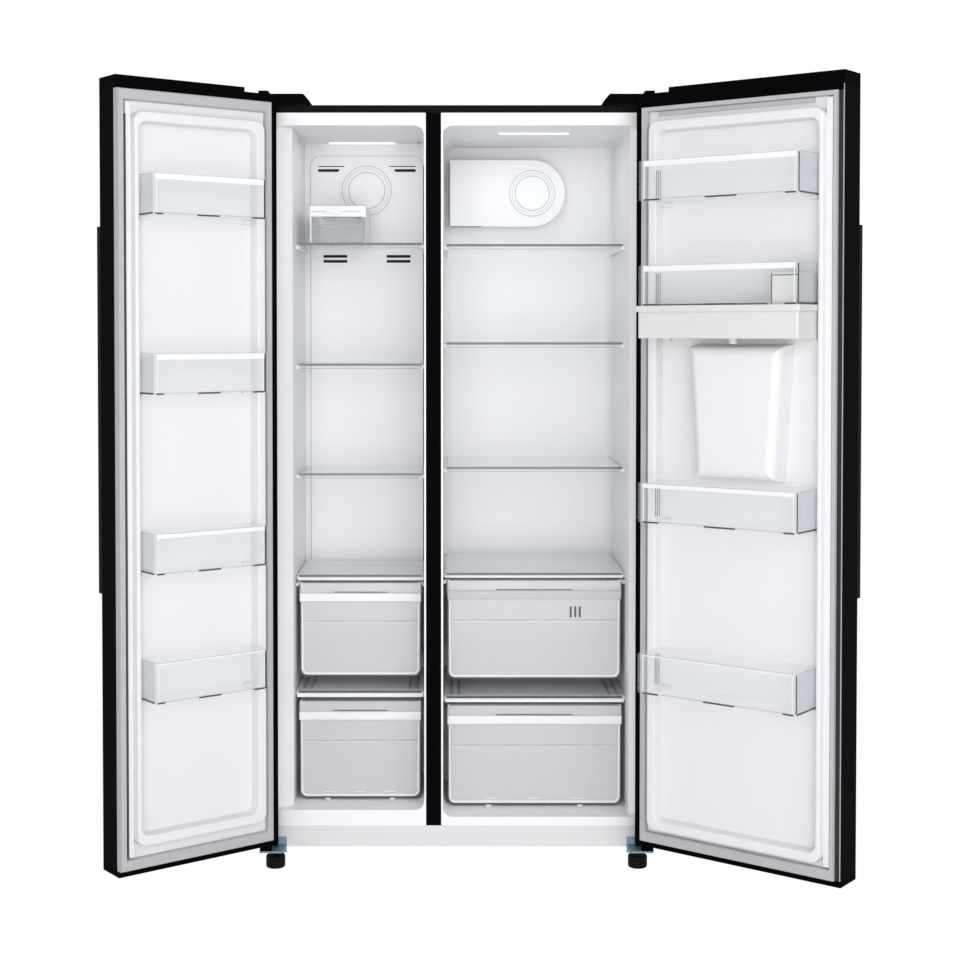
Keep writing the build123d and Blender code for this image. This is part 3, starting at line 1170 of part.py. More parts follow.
def all_nodes():
    """Every piece of the refrigerator by name, with the doors open."""
    nodes = {
        "outer_case": outer_case(),
        "rear_panel": rear_panel(),
        "base_pan": base_pan(),
        "cabinet_foam": cabinet_foam(),
        "freezer_liner": freezer_liner(),
        "fridge_liner": fridge_liner(),
        "mullion_cover": mullion_cover(),
        "top_rail": top_rail(),
        "plinth_rail": plinth_rail(),
        "upper_hinge_plates": upper_hinge_plates(),
        "hinge_covers": hinge_covers(),
        "lower_hinge_brackets": lower_hinge_brackets(),
        "hinge_screws": hinge_screws(),
        "freezer_duct_cover": freezer_duct_cover(),
        "fridge_air_duct": fridge_air_duct(),
        "lamp_lenses": lamp_lenses(),
        "evaporator": evaporator(),
        "evaporator_fan": evaporator_fan(),
        "compressor": compressor(),
        "machine_room_cover": machine_room_cover(),
        "ice_maker_frame": ice_maker_frame(),
        "ice_tray": ice_tray(),
        "ice_box": ice_box(),
        "glass_shelves": glass_shelves(),
        "drawer_covers": drawer_covers(),
        "foot_left": levelling_foot(-1),
        "foot_right": levelling_foot(1),
        "rear_rollers": rear_rollers(),
    }
    drawers = {"freezer_upper": freezer_upper, "freezer_lower": freezer_lower,
               "fridge_upper": fridge_upper, "fridge_lower": fridge_lower}
    for name, drawer in drawers.items():
        nodes[name + "_drawer"] = drawer_tub(drawer)
        nodes[name + "_handle"] = drawer_band(drawer)
    on_doors = {
        "freezer": (freezer_door, door_shell(freezer_door), door_foam(freezer_door),
                    door_liner(freezer_door, FREEZER_BINS), FREEZER_BINS, FREEZER_BIN_DEPTH),
        "fridge": (fridge_door, fridge_door_shell(), fridge_door_foam(),
                   fridge_door_liner(), FRIDGE_BINS, FRIDGE_BIN_DEPTH),
    }
    for name, (door, shell, foam, sheet, bottoms, depth) in on_doors.items():
        pieces = {"door_shell": shell, "door_caps": door_caps(door), "door_foam": foam, "door_liner": sheet,
                  "door_gasket": door_gasket(door), "door_handle": door_handle(door)}
        for index, bottom in enumerate(bottoms):
            over_tank = door is fridge_door and index == 1
            pieces[f"bin_{index + 1}"] = second_bin() if over_tank else door_bin(door, depth, bottom)
        for piece, shape in pieces.items():
            nodes[f"{name}_{piece}"] = swung(door, shape)
    for name, shape in (("water_tank", water_tank()), ("tank_fill_lid", tank_fill_lid()),
                        ("dispenser_niche", dispenser_niche()), ("dispenser_paddle", dispenser_paddle())):
        nodes[name] = swung(fridge_door, shape)
    return nodes


# The origin is the middle of the whole object's footprint, on the floor.
parts = all_nodes()
reach = Compound(list(parts.values())).bounding_box()
ORIGIN = Vector(reach.center().X, reach.center().Y, 0)
os.makedirs("parts", exist_ok=True)
for part_name, part in parts.items():
    export_step(Pos(-ORIGIN.X, -ORIGIN.Y, 0) * part, f"parts/{part_name}.step")
print("nodes", len(parts), "origin", ORIGIN.X, ORIGIN.Y, "size", reach.size)
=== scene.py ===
import bmesh
import bpy
from math import radians
from mathutils import Matrix, Vector


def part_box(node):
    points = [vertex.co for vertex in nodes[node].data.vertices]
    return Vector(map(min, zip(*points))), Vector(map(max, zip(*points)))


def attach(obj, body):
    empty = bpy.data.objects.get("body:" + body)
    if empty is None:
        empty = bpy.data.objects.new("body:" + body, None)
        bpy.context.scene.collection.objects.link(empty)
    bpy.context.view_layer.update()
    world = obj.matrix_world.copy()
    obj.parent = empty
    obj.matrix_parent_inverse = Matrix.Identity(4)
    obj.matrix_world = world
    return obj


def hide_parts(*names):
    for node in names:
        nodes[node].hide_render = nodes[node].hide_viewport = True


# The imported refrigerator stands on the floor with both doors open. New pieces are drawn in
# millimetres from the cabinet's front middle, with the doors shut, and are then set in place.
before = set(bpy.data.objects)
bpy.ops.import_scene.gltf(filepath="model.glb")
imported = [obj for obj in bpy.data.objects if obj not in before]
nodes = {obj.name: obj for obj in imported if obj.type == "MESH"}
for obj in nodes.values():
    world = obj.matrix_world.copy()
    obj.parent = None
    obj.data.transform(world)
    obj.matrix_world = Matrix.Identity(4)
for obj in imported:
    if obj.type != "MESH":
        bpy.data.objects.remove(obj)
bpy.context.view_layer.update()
case_low, case_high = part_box("outer_case")
front_middle = Matrix.Translation(((case_low[0] + case_high[0]) / 2, case_low[1], 0))
MILLIMETRE = 0.001
cabinet_place = front_middle @ Matrix.Scale(MILLIMETRE, 4)

# Camera at the photo's place: in front of the open doors, a little above the middle and tilted
# down slightly. The picture is square and cut off centre, so the lens is shifted.
PICTURE_SIDE = 960                    # pixels
FOCAL_LENGTH = 1673.52                # in the same pixels
AXIS_X, AXIS_Y = 457.33, 375.78       # where the lens axis meets the picture
EYE = (1.64, -3834.59, 1228.47)
TILT = 1.47                           # degrees below level
camera = bpy.data.objects.new("camera", bpy.data.cameras.new("camera"))
camera.data.sensor_width = 36
camera.data.lens = FOCAL_LENGTH * camera.data.sensor_width / PICTURE_SIDE
camera.data.shift_x = (PICTURE_SIDE / 2 - AXIS_X) / PICTURE_SIDE
camera.data.shift_y = (AXIS_Y - PICTURE_SIDE / 2) / PICTURE_SIDE
camera.location = cabinet_place @ Vector(EYE)
camera.rotation_euler = (radians(90 - TILT), 0, 0)
bpy.context.scene.collection.objects.link(camera)
bpy.context.scene.camera = camera

# Plain studio: a pale seamless floor, an even white surround and four soft lamps in front.
# The surround and the floor look white, and the lamps alone decide how bright the object is.
# Light may pass many clear sheets, because each bin and drawer has several walls.
WHITE = (1, 1, 1, 1)
CLEAR_SHEETS = 32
AMBIENT_TINT, AMBIENT_STRENGTH = (0.95, 0.97, 1, 1), 0.58
FLOOR_REACH = 9                       # metres from the middle to each side
FLOOR_PALE, FLOOR_ROUGH, FLOOR_SHINE = (0.9, 0.9, 0.9, 1), 0.9, 0.1
FLOOR_GLOW = 0.99                     # share of plain white where the floor is seen directly
STUDIO_LAMPS = {                      # place, aim, size and power
    "front_lamp": ((0, -4.5, 1.3), (0, 0.2, 0.85), 2.6, 64),
    "key_lamp": ((2.3, -4.2, 2.7), (0, 0.1, 0.8), 2.2, 44),
    "fill_lamp": ((-2.4, -4.2, 1.8), (0, 0.1, 0.9), 2.2, 9),
    "low_lamp": ((0, -3.2, 0.35), (0, 0.3, 1.6), 1.6, 16)}
bpy.context.scene.view_settings.view_transform = "Standard"
bpy.context.scene.cycles.transparent_max_bounces = CLEAR_SHEETS
world = bpy.data.worlds.new("surround")
bpy.context.scene.world = world
world.use_nodes = True


def seen_directly(tree):
    """One for rays that the eye, a mirror or a window sends straight to a surface."""
    path = tree.nodes.new("ShaderNodeLightPath")
    ray = path.outputs["Is Camera Ray"]
    for kind in ("Is Glossy Ray", "Is Transmission Ray"):
        either = tree.nodes.new("ShaderNodeMath")
        either.operation = "MAXIMUM"
        tree.links.new(ray, either.inputs[0])
        tree.links.new(path.outputs[kind], either.inputs[1])
        ray = either.outputs[0]
    return ray


surround = world.node_tree
shown = surround.nodes["Background"]
shown.inputs["Color"].default_value = WHITE
shown.inputs["Strength"].default_value = 1
ambient = surround.nodes.new("ShaderNodeBackground")
ambient.inputs["Color"].default_value = AMBIENT_TINT
ambient.inputs["Strength"].default_value = AMBIENT_STRENGTH
choice = surround.nodes.new("ShaderNodeMixShader")
surround.links.new(seen_directly(surround), choice.inputs[0])
surround.links.new(ambient.outputs[0], choice.inputs[1])
surround.links.new(shown.outputs[0], choice.inputs[2])
surround.links.new(choice.outputs[0], surround.nodes["World Output"].inputs["Surface"])

floor_mesh = bmesh.new()
bmesh.ops.create_grid(floor_mesh, x_segments=1, y_segments=1, size=FLOOR_REACH)
floor_data = bpy.data.meshes.new("floor")
floor_mesh.to_mesh(floor_data)
floor_mesh.free()
floor = bpy.data.objects.new("floor", floor_data)
bpy.context.scene.collection.objects.link(floor)
pale_floor = bpy.data.materials.new("pale_floor")
pale_floor.use_nodes = True
floor_tree = pale_floor.node_tree
floor_paint = floor_tree.nodes["Principled BSDF"]
floor_paint.inputs["Base Color"].default_value = FLOOR_PALE
floor_paint.inputs["Roughness"].default_value = FLOOR_ROUGH
floor_paint.inputs["Specular IOR Level"].default_value = FLOOR_SHINE
glow = floor_tree.nodes.new("ShaderNodeEmission")
share = floor_tree.nodes.new("ShaderNodeMath")
share.operation = "MULTIPLY"
share.inputs[1].default_value = FLOOR_GLOW
blended = floor_tree.nodes.new("ShaderNodeMixShader")
floor_tree.links.new(seen_directly(floor_tree), share.inputs[0])
floor_tree.links.new(share.outputs[0], blended.inputs[0])
floor_tree.links.new(floor_paint.outputs[0], blended.inputs[1])
floor_tree.links.new(glow.outputs[0], blended.inputs[2])
floor_tree.links.new(blended.outputs[0], floor_tree.nodes["Material Output"].inputs["Surface"])
floor_data.materials.append(pale_floor)

for lamp_name, (place, aim, size, power) in STUDIO_LAMPS.items():
    lamp = bpy.data.objects.new(lamp_name, bpy.data.lights.new(lamp_name, "AREA"))
    lamp.data.size = size
    lamp.data.energy = power
    lamp.location = place
    lamp.rotation_euler = (Vector(aim) - Vector(place)).to_track_quat("-Z", "Y").to_euler()
    bpy.context.scene.collection.objects.link(lamp)

# Outer case: one steel sheet, bent over the top and both sides.
# It is painted black, smooth with the faint ripple of sprayed enamel.
MIX_LOW, MIX_HIGH, MIX_OUT = 6, 7, 2  # colour sockets of a Mix node
CLOUD_DETAIL, SPECK_DETAIL = 3, 2
LEAST_ROUGH, GLOSS_DRIFT = 0.02, 0.06
RIPPLE_DEPTH = 0.0005                 # metres


def clouded(name, low, high, grain, detail, smooth, rough, specular):
    """Finish that drifts between two colours and two degrees of gloss, and its coordinates."""
    material = bpy.data.materials.new(name)
    material.use_nodes = True
    tree = material.node_tree
    shader = tree.nodes["Principled BSDF"]
    shader.inputs["Specular IOR Level"].default_value = specular
    coordinates = tree.nodes.new("ShaderNodeTexCoord").outputs["Object"]
    cloud = tree.nodes.new("ShaderNodeTexNoise")
    cloud.inputs["Scale"].default_value = grain
    cloud.inputs["Detail"].default_value = detail
    tree.links.new(coordinates, cloud.inputs["Vector"])
    tint = tree.nodes.new("ShaderNodeMix")
    tint.data_type = "RGBA"
    tint.inputs[MIX_LOW].default_value = (*low, 1)
    tint.inputs[MIX_HIGH].default_value = (*high, 1)
    tree.links.new(cloud.outputs["Fac"], tint.inputs[0])
    tree.links.new(tint.outputs[MIX_OUT], shader.inputs["Base Color"])
    gloss = tree.nodes.new("ShaderNodeMapRange")
    gloss.inputs["To Min"].default_value = smooth
    gloss.inputs["To Max"].default_value = rough
    tree.links.new(cloud.outputs["Fac"], gloss.inputs["Value"])
    tree.links.new(gloss.outputs[0], shader.inputs["Roughness"])
    return material, coordinates


def grained(name, colour, rough, mottle, grain, ripple, fine, specular, metal=0.0):
    """Solid finish with slight mottling, uneven gloss and a fine ripple."""
    darker = [c * (1 - mottle) for c in colour]
    lighter = [min(1, c * (1 + mottle)) for c in colour]
    smooth = max(LEAST_ROUGH, rough - GLOSS_DRIFT)
    material, coordinates = clouded(name, darker, lighter, grain, CLOUD_DETAIL,
                                    smooth, rough + GLOSS_DRIFT, specular)
    tree = material.node_tree
    shader = tree.nodes["Principled BSDF"]
    shader.inputs["Metallic"].default_value = metal
    speck = tree.nodes.new("ShaderNodeTexNoise")
    speck.inputs["Scale"].default_value = fine
    speck.inputs["Detail"].default_value = SPECK_DETAIL
    tree.links.new(coordinates, speck.inputs["Vector"])
    bump = tree.nodes.new("ShaderNodeBump")
    bump.inputs["Strength"].default_value = ripple
    bump.inputs["Distance"].default_value = RIPPLE_DEPTH
    tree.links.new(speck.outputs["Fac"], bump.inputs["Height"])
    tree.links.new(bump.outputs["Normal"], shader.inputs["Normal"])
    return material


def dress(material, *names):
    """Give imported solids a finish."""
    for node in names:
        nodes[node].data.materials.clear()
        nodes[node].data.materials.append(material)


case_paint = grained("case_paint", (0.0025, 0.0025, 0.003), rough=0.42, mottle=0.2, grain=25,
                     ripple=0.05, fine=700, specular=0.003)
dress(case_paint, "outer_case")

# Rear panel, base pan and machine room: a painted sheet closes the back and a galvanised pan the
# bottom. A pressed black cover with slots is screwed over the black compressor pot.


def rolled(name, colour, rough, streak):
    """Bare plated sheet with faint rolling streaks."""
    material = grained(name, colour, rough, mottle=0.08, grain=8, ripple=0.03, fine=300,
                       specular=0.5, metal=1.0)
    tree = material.node_tree
    turn = tree.nodes.new("ShaderNodeMapping")
    turn.inputs["Scale"].default_value = streak
    place = next(n for n in tree.nodes if n.type == "TEX_COORD")
    tree.links.new(place.outputs["Object"], turn.inputs["Vector"])
    for cloud in [n for n in tree.nodes if n.type == "TEX_NOISE"]:
        tree.links.new(turn.outputs[0], cloud.inputs["Vector"])
    return material


rear_sheet = grained("rear_sheet", (0.30, 0.31, 0.32), rough=0.45, mottle=0.05, grain=20,
                     ripple=0.05, fine=500, specular=0.4)
pan_zinc = rolled("pan_zinc", (0.60, 0.62, 0.64), rough=0.42, streak=(2, 60, 60))
pot_paint = grained("pot_paint", (0.012, 0.012, 0.013), rough=0.4, mottle=0.2, grain=40,
                    ripple=0.08, fine=500, specular=0.3)
cover_black = grained("cover_black", (0.012, 0.012, 0.013), rough=0.5, mottle=0.2, grain=40,
                      ripple=0.15, fine=900, specular=0.25)
dress(rear_sheet, "rear_panel")
dress(pan_zinc, "base_pan")
dress(pot_paint, "compressor")
dress(cover_black, "machine_room_cover")

# Insulation: polyurethane foam, poured between the case, the liners and the doors' skins, where it
# sets hard and holds them together. It is pale straw yellow with open cells, hidden when whole.
foam_yellow = grained("foam_yellow", (0.78, 0.66, 0.38), rough=0.9, mottle=0.12, grain=160,
                      ripple=0.5, fine=600, specular=0.1)
dress(foam_yellow, "cabinet_foam", "freezer_door_foam", "fridge_door_foam")

# Liners: vacuum formed white polystyrene tubs with soft gloss, held by the foam behind them.
# The same sheet makes the duct covers and the doors' inner faces. The doors' copy of the white is
# darker, as painted shade, because the lamps light the open doors more than the compartments.
liner_white = grained("liner_white", (0.86, 0.865, 0.875), rough=0.36, mottle=0.012, grain=6,
                      ripple=0.02, fine=500, specular=0.3)
# the doors' darker copy of the liner white: painted shade
door_white_shaded = grained("door_white_shaded", (0.755, 0.755, 0.765), rough=0.34, mottle=0.012, grain=6,
                     ripple=0.02, fine=500, specular=0.3)
dress(liner_white, "freezer_liner", "fridge_liner", "freezer_duct_cover", "fridge_air_duct")
dress(door_white_shaded, "freezer_door_liner", "fridge_door_liner")

# Mullion, rails and plinth: a black plastic strip clipped between the compartments, a dark rail
# over the mouth and the pale painted plinth below it.
black_plastic = grained("black_plastic", (0.0025, 0.0025, 0.003), rough=0.5, mottle=0.25, grain=120,
                        ripple=0.15, fine=1500, specular=0.003)
rail_plastic = grained("rail_plastic", (0.007, 0.007, 0.0075), rough=0.45, mottle=0.2, grain=60,
                       ripple=0.1, fine=1200, specular=0.02)
plinth_paint = grained("plinth_paint", (0.70, 0.70, 0.71), rough=0.4, mottle=0.015, grain=10,
                       ripple=0.04, fine=700, specular=0.4)
dress(black_plastic, "mullion_cover")
dress(rail_plastic, "top_rail")
dress(plinth_paint, "plinth_rail")

# Hinges: steel plates over the doors and brackets below them, screwed to the cabinet. They are
# zinc plated with the plating's blue cast, and black plastic covers hide the upper plates.
hinge_zinc = rolled("hinge_zinc", (0.20, 0.27, 0.34), rough=0.38, streak=(30, 30, 4))
dress(hinge_zinc, "upper_hinge_plates", "lower_hinge_brackets", "hinge_screws")
dress(black_plastic, "hinge_covers")

# Feet and rollers: dull black moulded plastic. The feet are screwed in at the front corners,
# and the rollers turn on an axle at the back.
foot_black = grained("foot_black", (0.004, 0.004, 0.004), rough=0.6, mottle=0.3, grain=90,
                     ripple=0.25, fine=1100, specular=0.08)
dress(foot_black, "foot_left", "foot_right", "rear_rollers")

# Evaporator and fan: bare aluminium fins on a bent tube behind the freezer's duct cover,
# and the black plastic fan on its motor's shaft.
coil_metal = rolled("coil_metal", (0.75, 0.76, 0.77), rough=0.38, streak=(60, 4, 60))
dress(coil_metal, "evaporator")
dress(foot_black, "evaporator_fan")

# Lamps: a frosted plastic lens over a row of diodes, set in each ceiling and lit.
# The light itself leaves from a slim area lamp just under each lens.
LENS_GLOW = 0.55
LIGHT_LENGTH, LIGHT_WIDTH = 0.2, 0.16  # metres
LIGHT_Y, LIGHT_Z = 180, 1692
FREEZER_MIDDLE, FRIDGE_MIDDLE = -224.75, 183
FREEZER_POWER, FRIDGE_POWER = 0.10, 0.22
lamp_frost = grained("lamp_frost", (0.95, 0.96, 0.98), rough=0.5, mottle=0.01, grain=200,
                     ripple=0.05, fine=1500, specular=0.4)
lens = lamp_frost.node_tree.nodes["Principled BSDF"]
lens.inputs["Emission Color"].default_value = WHITE
lens.inputs["Emission Strength"].default_value = LENS_GLOW
dress(lamp_frost, "lamp_lenses")
for lamp_name, x, power in (("freezer_light", FREEZER_MIDDLE, FREEZER_POWER),
                            ("fridge_light", FRIDGE_MIDDLE, FRIDGE_POWER)):
    light = bpy.data.objects.new(lamp_name, bpy.data.lights.new(lamp_name, "AREA"))
    light.data.shape = "RECTANGLE"
    light.data.size = LIGHT_LENGTH
    light.data.size_y = LIGHT_WIDTH
    light.data.energy = power
    light.location = cabinet_place @ Vector((x, LIGHT_Y, LIGHT_Z))
    light.visible_camera = False
    bpy.context.scene.collection.objects.link(light)

# Air vents: slots through the freezer's duct cover and three return slits in the fridge.
# The duct behind them is unlit, so dark plates stand just behind the slots and in the slits.
VENTS = ((-350, -268, 1628, 1654), (-181, -99, 1628, 1654),
         (-337, -268, 1401, 1427), (-181, -112, 1401, 1427))
VENT_PLATE = (367.8, 369)
SLITS, SLIT_HALF = (299, 307, 315), 2.4
SLIT_PLATE, SLIT_RISE = (470.8, 471.8), (495.2, 522.8)
duct_dark = grained("duct_dark", (0.02, 0.021, 0.024), rough=0.8, mottle=0.2, grain=60,
                    ripple=0.1, fine=800, specular=0.1)


def slab(mesh, x0, x1, y0, y1, z0, z1):
    """Box between two corners, added to a mesh."""
    size = Matrix.Diagonal((x1 - x0, y1 - y0, z1 - z0, 1))
    middle = Matrix.Translation(((x0 + x1) / 2, (y0 + y1) / 2, (z0 + z1) / 2))
    bmesh.ops.create_cube(mesh, size=1, matrix=middle @ size)


def piece(mesh, name, body, material, slot, place=cabinet_place):
    """Set a mesh in place as a new piece that rides on a body."""
    mesh.transform(place)
    bmesh.ops.recalc_face_normals(mesh, faces=mesh.faces[:])
    data = bpy.data.meshes.new(name)
    mesh.to_mesh(data)
    mesh.free()
    data.materials.append(material)
    made = bpy.data.objects.new(name, data)
    bpy.context.scene.collection.objects.link(made)
    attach(made, body)
    return made


shade = bmesh.new()
for x0, x1, z0, z1 in VENTS:
    slab(shade, x0, x1, *VENT_PLATE, z0, z1)
for x in SLITS:
    slab(shade, x - SLIT_HALF, x + SLIT_HALF, *SLIT_PLATE, *SLIT_RISE)
piece(shade, "vent_shade", "cabinet", duct_dark, "black_plastic")

# Freezer back and blank discs: the moulded liner closes round the duct cover with a fine seam.
# Each disc has two stepped rings with a shaded line round each step. A short line of painted shadow
# runs under the fridge's air duct, and a small sensor is clipped in beside the freezer's lamp.
DISCS = ((-224.75, 361.8, 1584, 62, 46), (191.5, 416.8, 1582, 58, 44))
RIM_LINE, STEP_LINE, CORE_LINE = 1.3, 0.8, 1.5
STEP_IN, STEP_RISE, CORE_RISE = 7, 0.05, 3
RING_SEGMENTS, CORNER_SEGMENTS = 96, 6
BACK_LEFT, BACK_RIGHT, BACK_LOW, BACK_HIGH = -379.8, -74.7, 118, 1701.8
SIDE_PANEL, TOP_PANEL = (-365.2, 367, 369), (1646, 366.2, 368)
SEAM_LEFT, SEAM_RIGHT, SEAM_FACE, SEAM_HIGH = -366.4, -83.8, 365.9, 1671
SEAM_CORNER, SEAM_WIDTH, SEAM_PROUD = 23, 1.4, 0.5
DUCT_SHADOW_LINE = (-16, 62, 419.2, 419.9, 1497.4, 1498.8)
SENSOR = (-98, -90, 330, 338, 1699, 1701.9)
line_grey = grained("line_grey", (0.42, 0.42, 0.46), rough=0.4, mottle=0.05, grain=90,
                    ripple=0.02, fine=500, specular=0.3)


def ring(mesh, x, y, z, radius, width):
    """Flat ring that faces the front."""
    turn = Matrix.Translation((x, y, z)) @ Matrix.Rotation(radians(90), 4, "X")
    rims = []
    for r in (radius, radius - width):
        made = bmesh.ops.create_circle(mesh, segments=RING_SEGMENTS, radius=r, cap_ends=False,
                                       matrix=turn)
        rims += list({edge for vert in made["verts"] for edge in vert.link_edges})
    bmesh.ops.bridge_loops(mesh, edges=rims)


def tub_front(mesh, x0, x1, y, z0, z1, corner, width, proud):
    """Rim down both sides and along the bottom of a front, with round lower corners."""
    corners = ((x0, z0), (x1, z0), (x1, z1), (x0, z1))
    sheet = mesh.faces.new([mesh.verts.new((x, y, z)) for x, z in corners])
    lower = [v for v in sheet.verts if v.co.z < z0 + 1]
    made = bmesh.ops.bevel(mesh, geom=lower, offset=corner, segments=CORNER_SEGMENTS, profile=0.5,
                           affect="VERTICES", material=-1)
    sheet = next(f for v in made["verts"] for f in v.link_faces)
    rims = bmesh.ops.inset_region(mesh, faces=[sheet], thickness=width, use_boundary=True)["faces"]
    upper = [f for f in rims if f.calc_center_median().z > z1 - width]
    bmesh.ops.delete(mesh, geom=[sheet] + upper, context="FACES")
    bmesh.ops.solidify(mesh, geom=[f for f in rims if f.is_valid], thickness=proud)


def bar(span, name, body, material, slot, place=cabinet_place):
    """Piece of one slim slab."""
    mesh = bmesh.new()
    slab(mesh, *span)
    piece(mesh, name, body, material, slot, place)


rings = bmesh.new()
for x, y, z, outer, core in DISCS:
    ring(rings, x, y, z, outer, RIM_LINE)
    ring(rings, x, y - STEP_RISE, z, outer - STEP_IN, STEP_LINE)
    ring(rings, x, y - CORE_RISE, z, core, CORE_LINE)
piece(rings, "disc_lines", "cabinet", line_grey, "white_liner")
panels = bmesh.new()
side_right, *side_depth = SIDE_PANEL
slab(panels, BACK_LEFT, side_right, *side_depth, BACK_LOW, BACK_HIGH)
top_low, *top_depth = TOP_PANEL
slab(panels, BACK_LEFT, BACK_RIGHT, *top_depth, top_low, BACK_HIGH)
piece(panels, "freezer_back_panels", "cabinet", liner_white, "white_liner")
seam = bmesh.new()
tub_front(seam, SEAM_LEFT, SEAM_RIGHT, SEAM_FACE, -SEAM_HIGH, -BACK_LOW,
          SEAM_CORNER, SEAM_WIDTH, SEAM_PROUD)
seam.transform(Matrix.Diagonal((1, 1, -1, 1)))
piece(seam, "duct_cover_seam", "cabinet", line_grey, "white_liner")
# painted shadow along the bottom edge of the fridge's air duct
bar(DUCT_SHADOW_LINE, "duct_shadow_line", "cabinet", duct_dark, "black_plastic")
bar(SENSOR, "freezer_sensor", "cabinet", line_grey, "white_liner")

# Shelves and drawer covers: toughened glass on ribs of the liner. The polished front edge looks
# dark grey green, so each edge is a slim strip in front of the plate, over a shaded lip. The covers
# have white trims under their fronts, and grey frames lie along the two lower ones.
CLEAR_GRAIN, CLEAR_DETAIL, CLEAR_MOTTLE = 9, 2, 0.97
CLEAR_DRIFT, CLEAR_SHINE, EDGE_BLEND = 0.04, 0.5, 0.35
FREEZER_SPAN, FRIDGE_SPAN = (-376, -78.5), (-27.5, 394)
FREEZER_SHELVES, FRIDGE_SHELVES = (1438, 1154, 895), (1435, 1204, 910)
SHELF_FRONT, LOW_COVER_FRONT = 110, 88
GLASS = ((FREEZER_SPAN, SHELF_FRONT, FREEZER_SHELVES + (654.5,)),
         (FRIDGE_SPAN, SHELF_FRONT, FRIDGE_SHELVES + (659,)),
         (FREEZER_SPAN, LOW_COVER_FRONT, (384,)),
         (FRIDGE_SPAN, LOW_COVER_FRONT, (371,)))
GLASS_SHORT, GLASS_DEPTH, GLASS_RISE = 4, (-1.4, -0.05), (-3.4, 2.3)
LIP_SHORT, LIP_DEPTH, LIP_RISE = 10, (113, 115), (-10, -8.6)
TRIMS = ((FREEZER_SPAN, 113, 643, 651), (FRIDGE_SPAN, 113, 649, 655.5),
         (FREEZER_SPAN, 91, 370, 380), (FRIDGE_SPAN, 91, 358, 367))
TRIM_DEPTH = (0, 4)
COVER_FRAMES = ((FREEZER_SPAN, 352, 387), (FRIDGE_SPAN, 452, 374))
FRAME_OUTER, FRAME_INNER, FRAME_WIDTH = 12, 30, 6
FRAME_FRONT, FRAME_CROSS, FRAME_RISE = 100, (106, 110), (-0.4, 0.6)


def clear(name, colour, rough, least, most):
    """Clear sheet: faint when seen square on, denser towards its edges."""
    darker = [c * CLEAR_MOTTLE for c in colour]
    material, _ = clouded(name, darker, colour, CLEAR_GRAIN, CLEAR_DETAIL,
                          rough, rough + CLEAR_DRIFT, CLEAR_SHINE)
    tree = material.node_tree
    edge = tree.nodes.new("ShaderNodeLayerWeight")
    edge.inputs["Blend"].default_value = EDGE_BLEND
    density = tree.nodes.new("ShaderNodeMapRange")
    density.inputs["To Min"].default_value = least
    density.inputs["To Max"].default_value = most
    tree.links.new(edge.outputs["Facing"], density.inputs["Value"])
    tree.links.new(density.outputs[0], tree.nodes["Principled BSDF"].inputs["Alpha"])
    return material


def past(edge, offsets):
    """Both ends of a slab, each measured from an edge."""
    return [edge + offset for offset in offsets]


shelf_glass = clear("shelf_glass", (0.80, 0.87, 0.88), rough=0.05, least=0.05, most=0.28)
# The covers' glass is near white and dense: painted light, where little lamp light reaches between
# the drawers.
cover_glass_painted_light = clear("cover_glass_painted_light", (0.98, 0.99, 1.0), rough=0.12, least=0.6, most=0.9)
glass_edge = grained("glass_edge", (0.085, 0.095, 0.10), rough=0.2, mottle=0.15, grain=90,
                     ripple=0.02, fine=400, specular=0.5)
cover_grey = grained("cover_grey", (0.30, 0.32, 0.36), rough=0.4, mottle=0.05, grain=90,
                     ripple=0.02, fine=500, specular=0.3)
dress(shelf_glass, "glass_shelves")
dress(cover_glass_painted_light, "drawer_covers")
edges = bmesh.new()
for (x0, x1), front, heights in GLASS:
    for z in heights:
        slab(edges, x0 + GLASS_SHORT, x1 - GLASS_SHORT,
             *past(front, GLASS_DEPTH), *past(z, GLASS_RISE))
piece(edges, "glass_edges", "cabinet", glass_edge, "shelf_glass")
lips = bmesh.new()
for (x0, x1), heights in ((FREEZER_SPAN, FREEZER_SHELVES), (FRIDGE_SPAN, FRIDGE_SHELVES)):
    for z in heights:
        slab(lips, x0 + LIP_SHORT, x1 - LIP_SHORT, *LIP_DEPTH, *past(z, LIP_RISE))
piece(lips, "shelf_lips", "cabinet", line_grey, "white_liner")
trims = bmesh.new()
for (x0, x1), front, low, high in TRIMS:
    slab(trims, x0, x1, *past(front, TRIM_DEPTH), low, high)
piece(trims, "cover_trims", "cabinet", liner_white, "white_liner")
frames = bmesh.new()
for (x0, x1), back, z in COVER_FRAMES:
    depth, rise = (FRAME_FRONT, back - FRAME_OUTER), past(z, FRAME_RISE)
    for inset in (FRAME_OUTER, FRAME_INNER):
        slab(frames, x0 + inset, x0 + inset + FRAME_WIDTH, *depth, *rise)
        slab(frames, x1 - inset - FRAME_WIDTH, x1 - inset, *depth, *rise)
    slab(frames, x0 + FRAME_OUTER, x1 - FRAME_OUTER, *FRAME_CROSS, *rise)
piece(frames, "cover_frames", "cabinet", cover_grey, "shelf_glass")

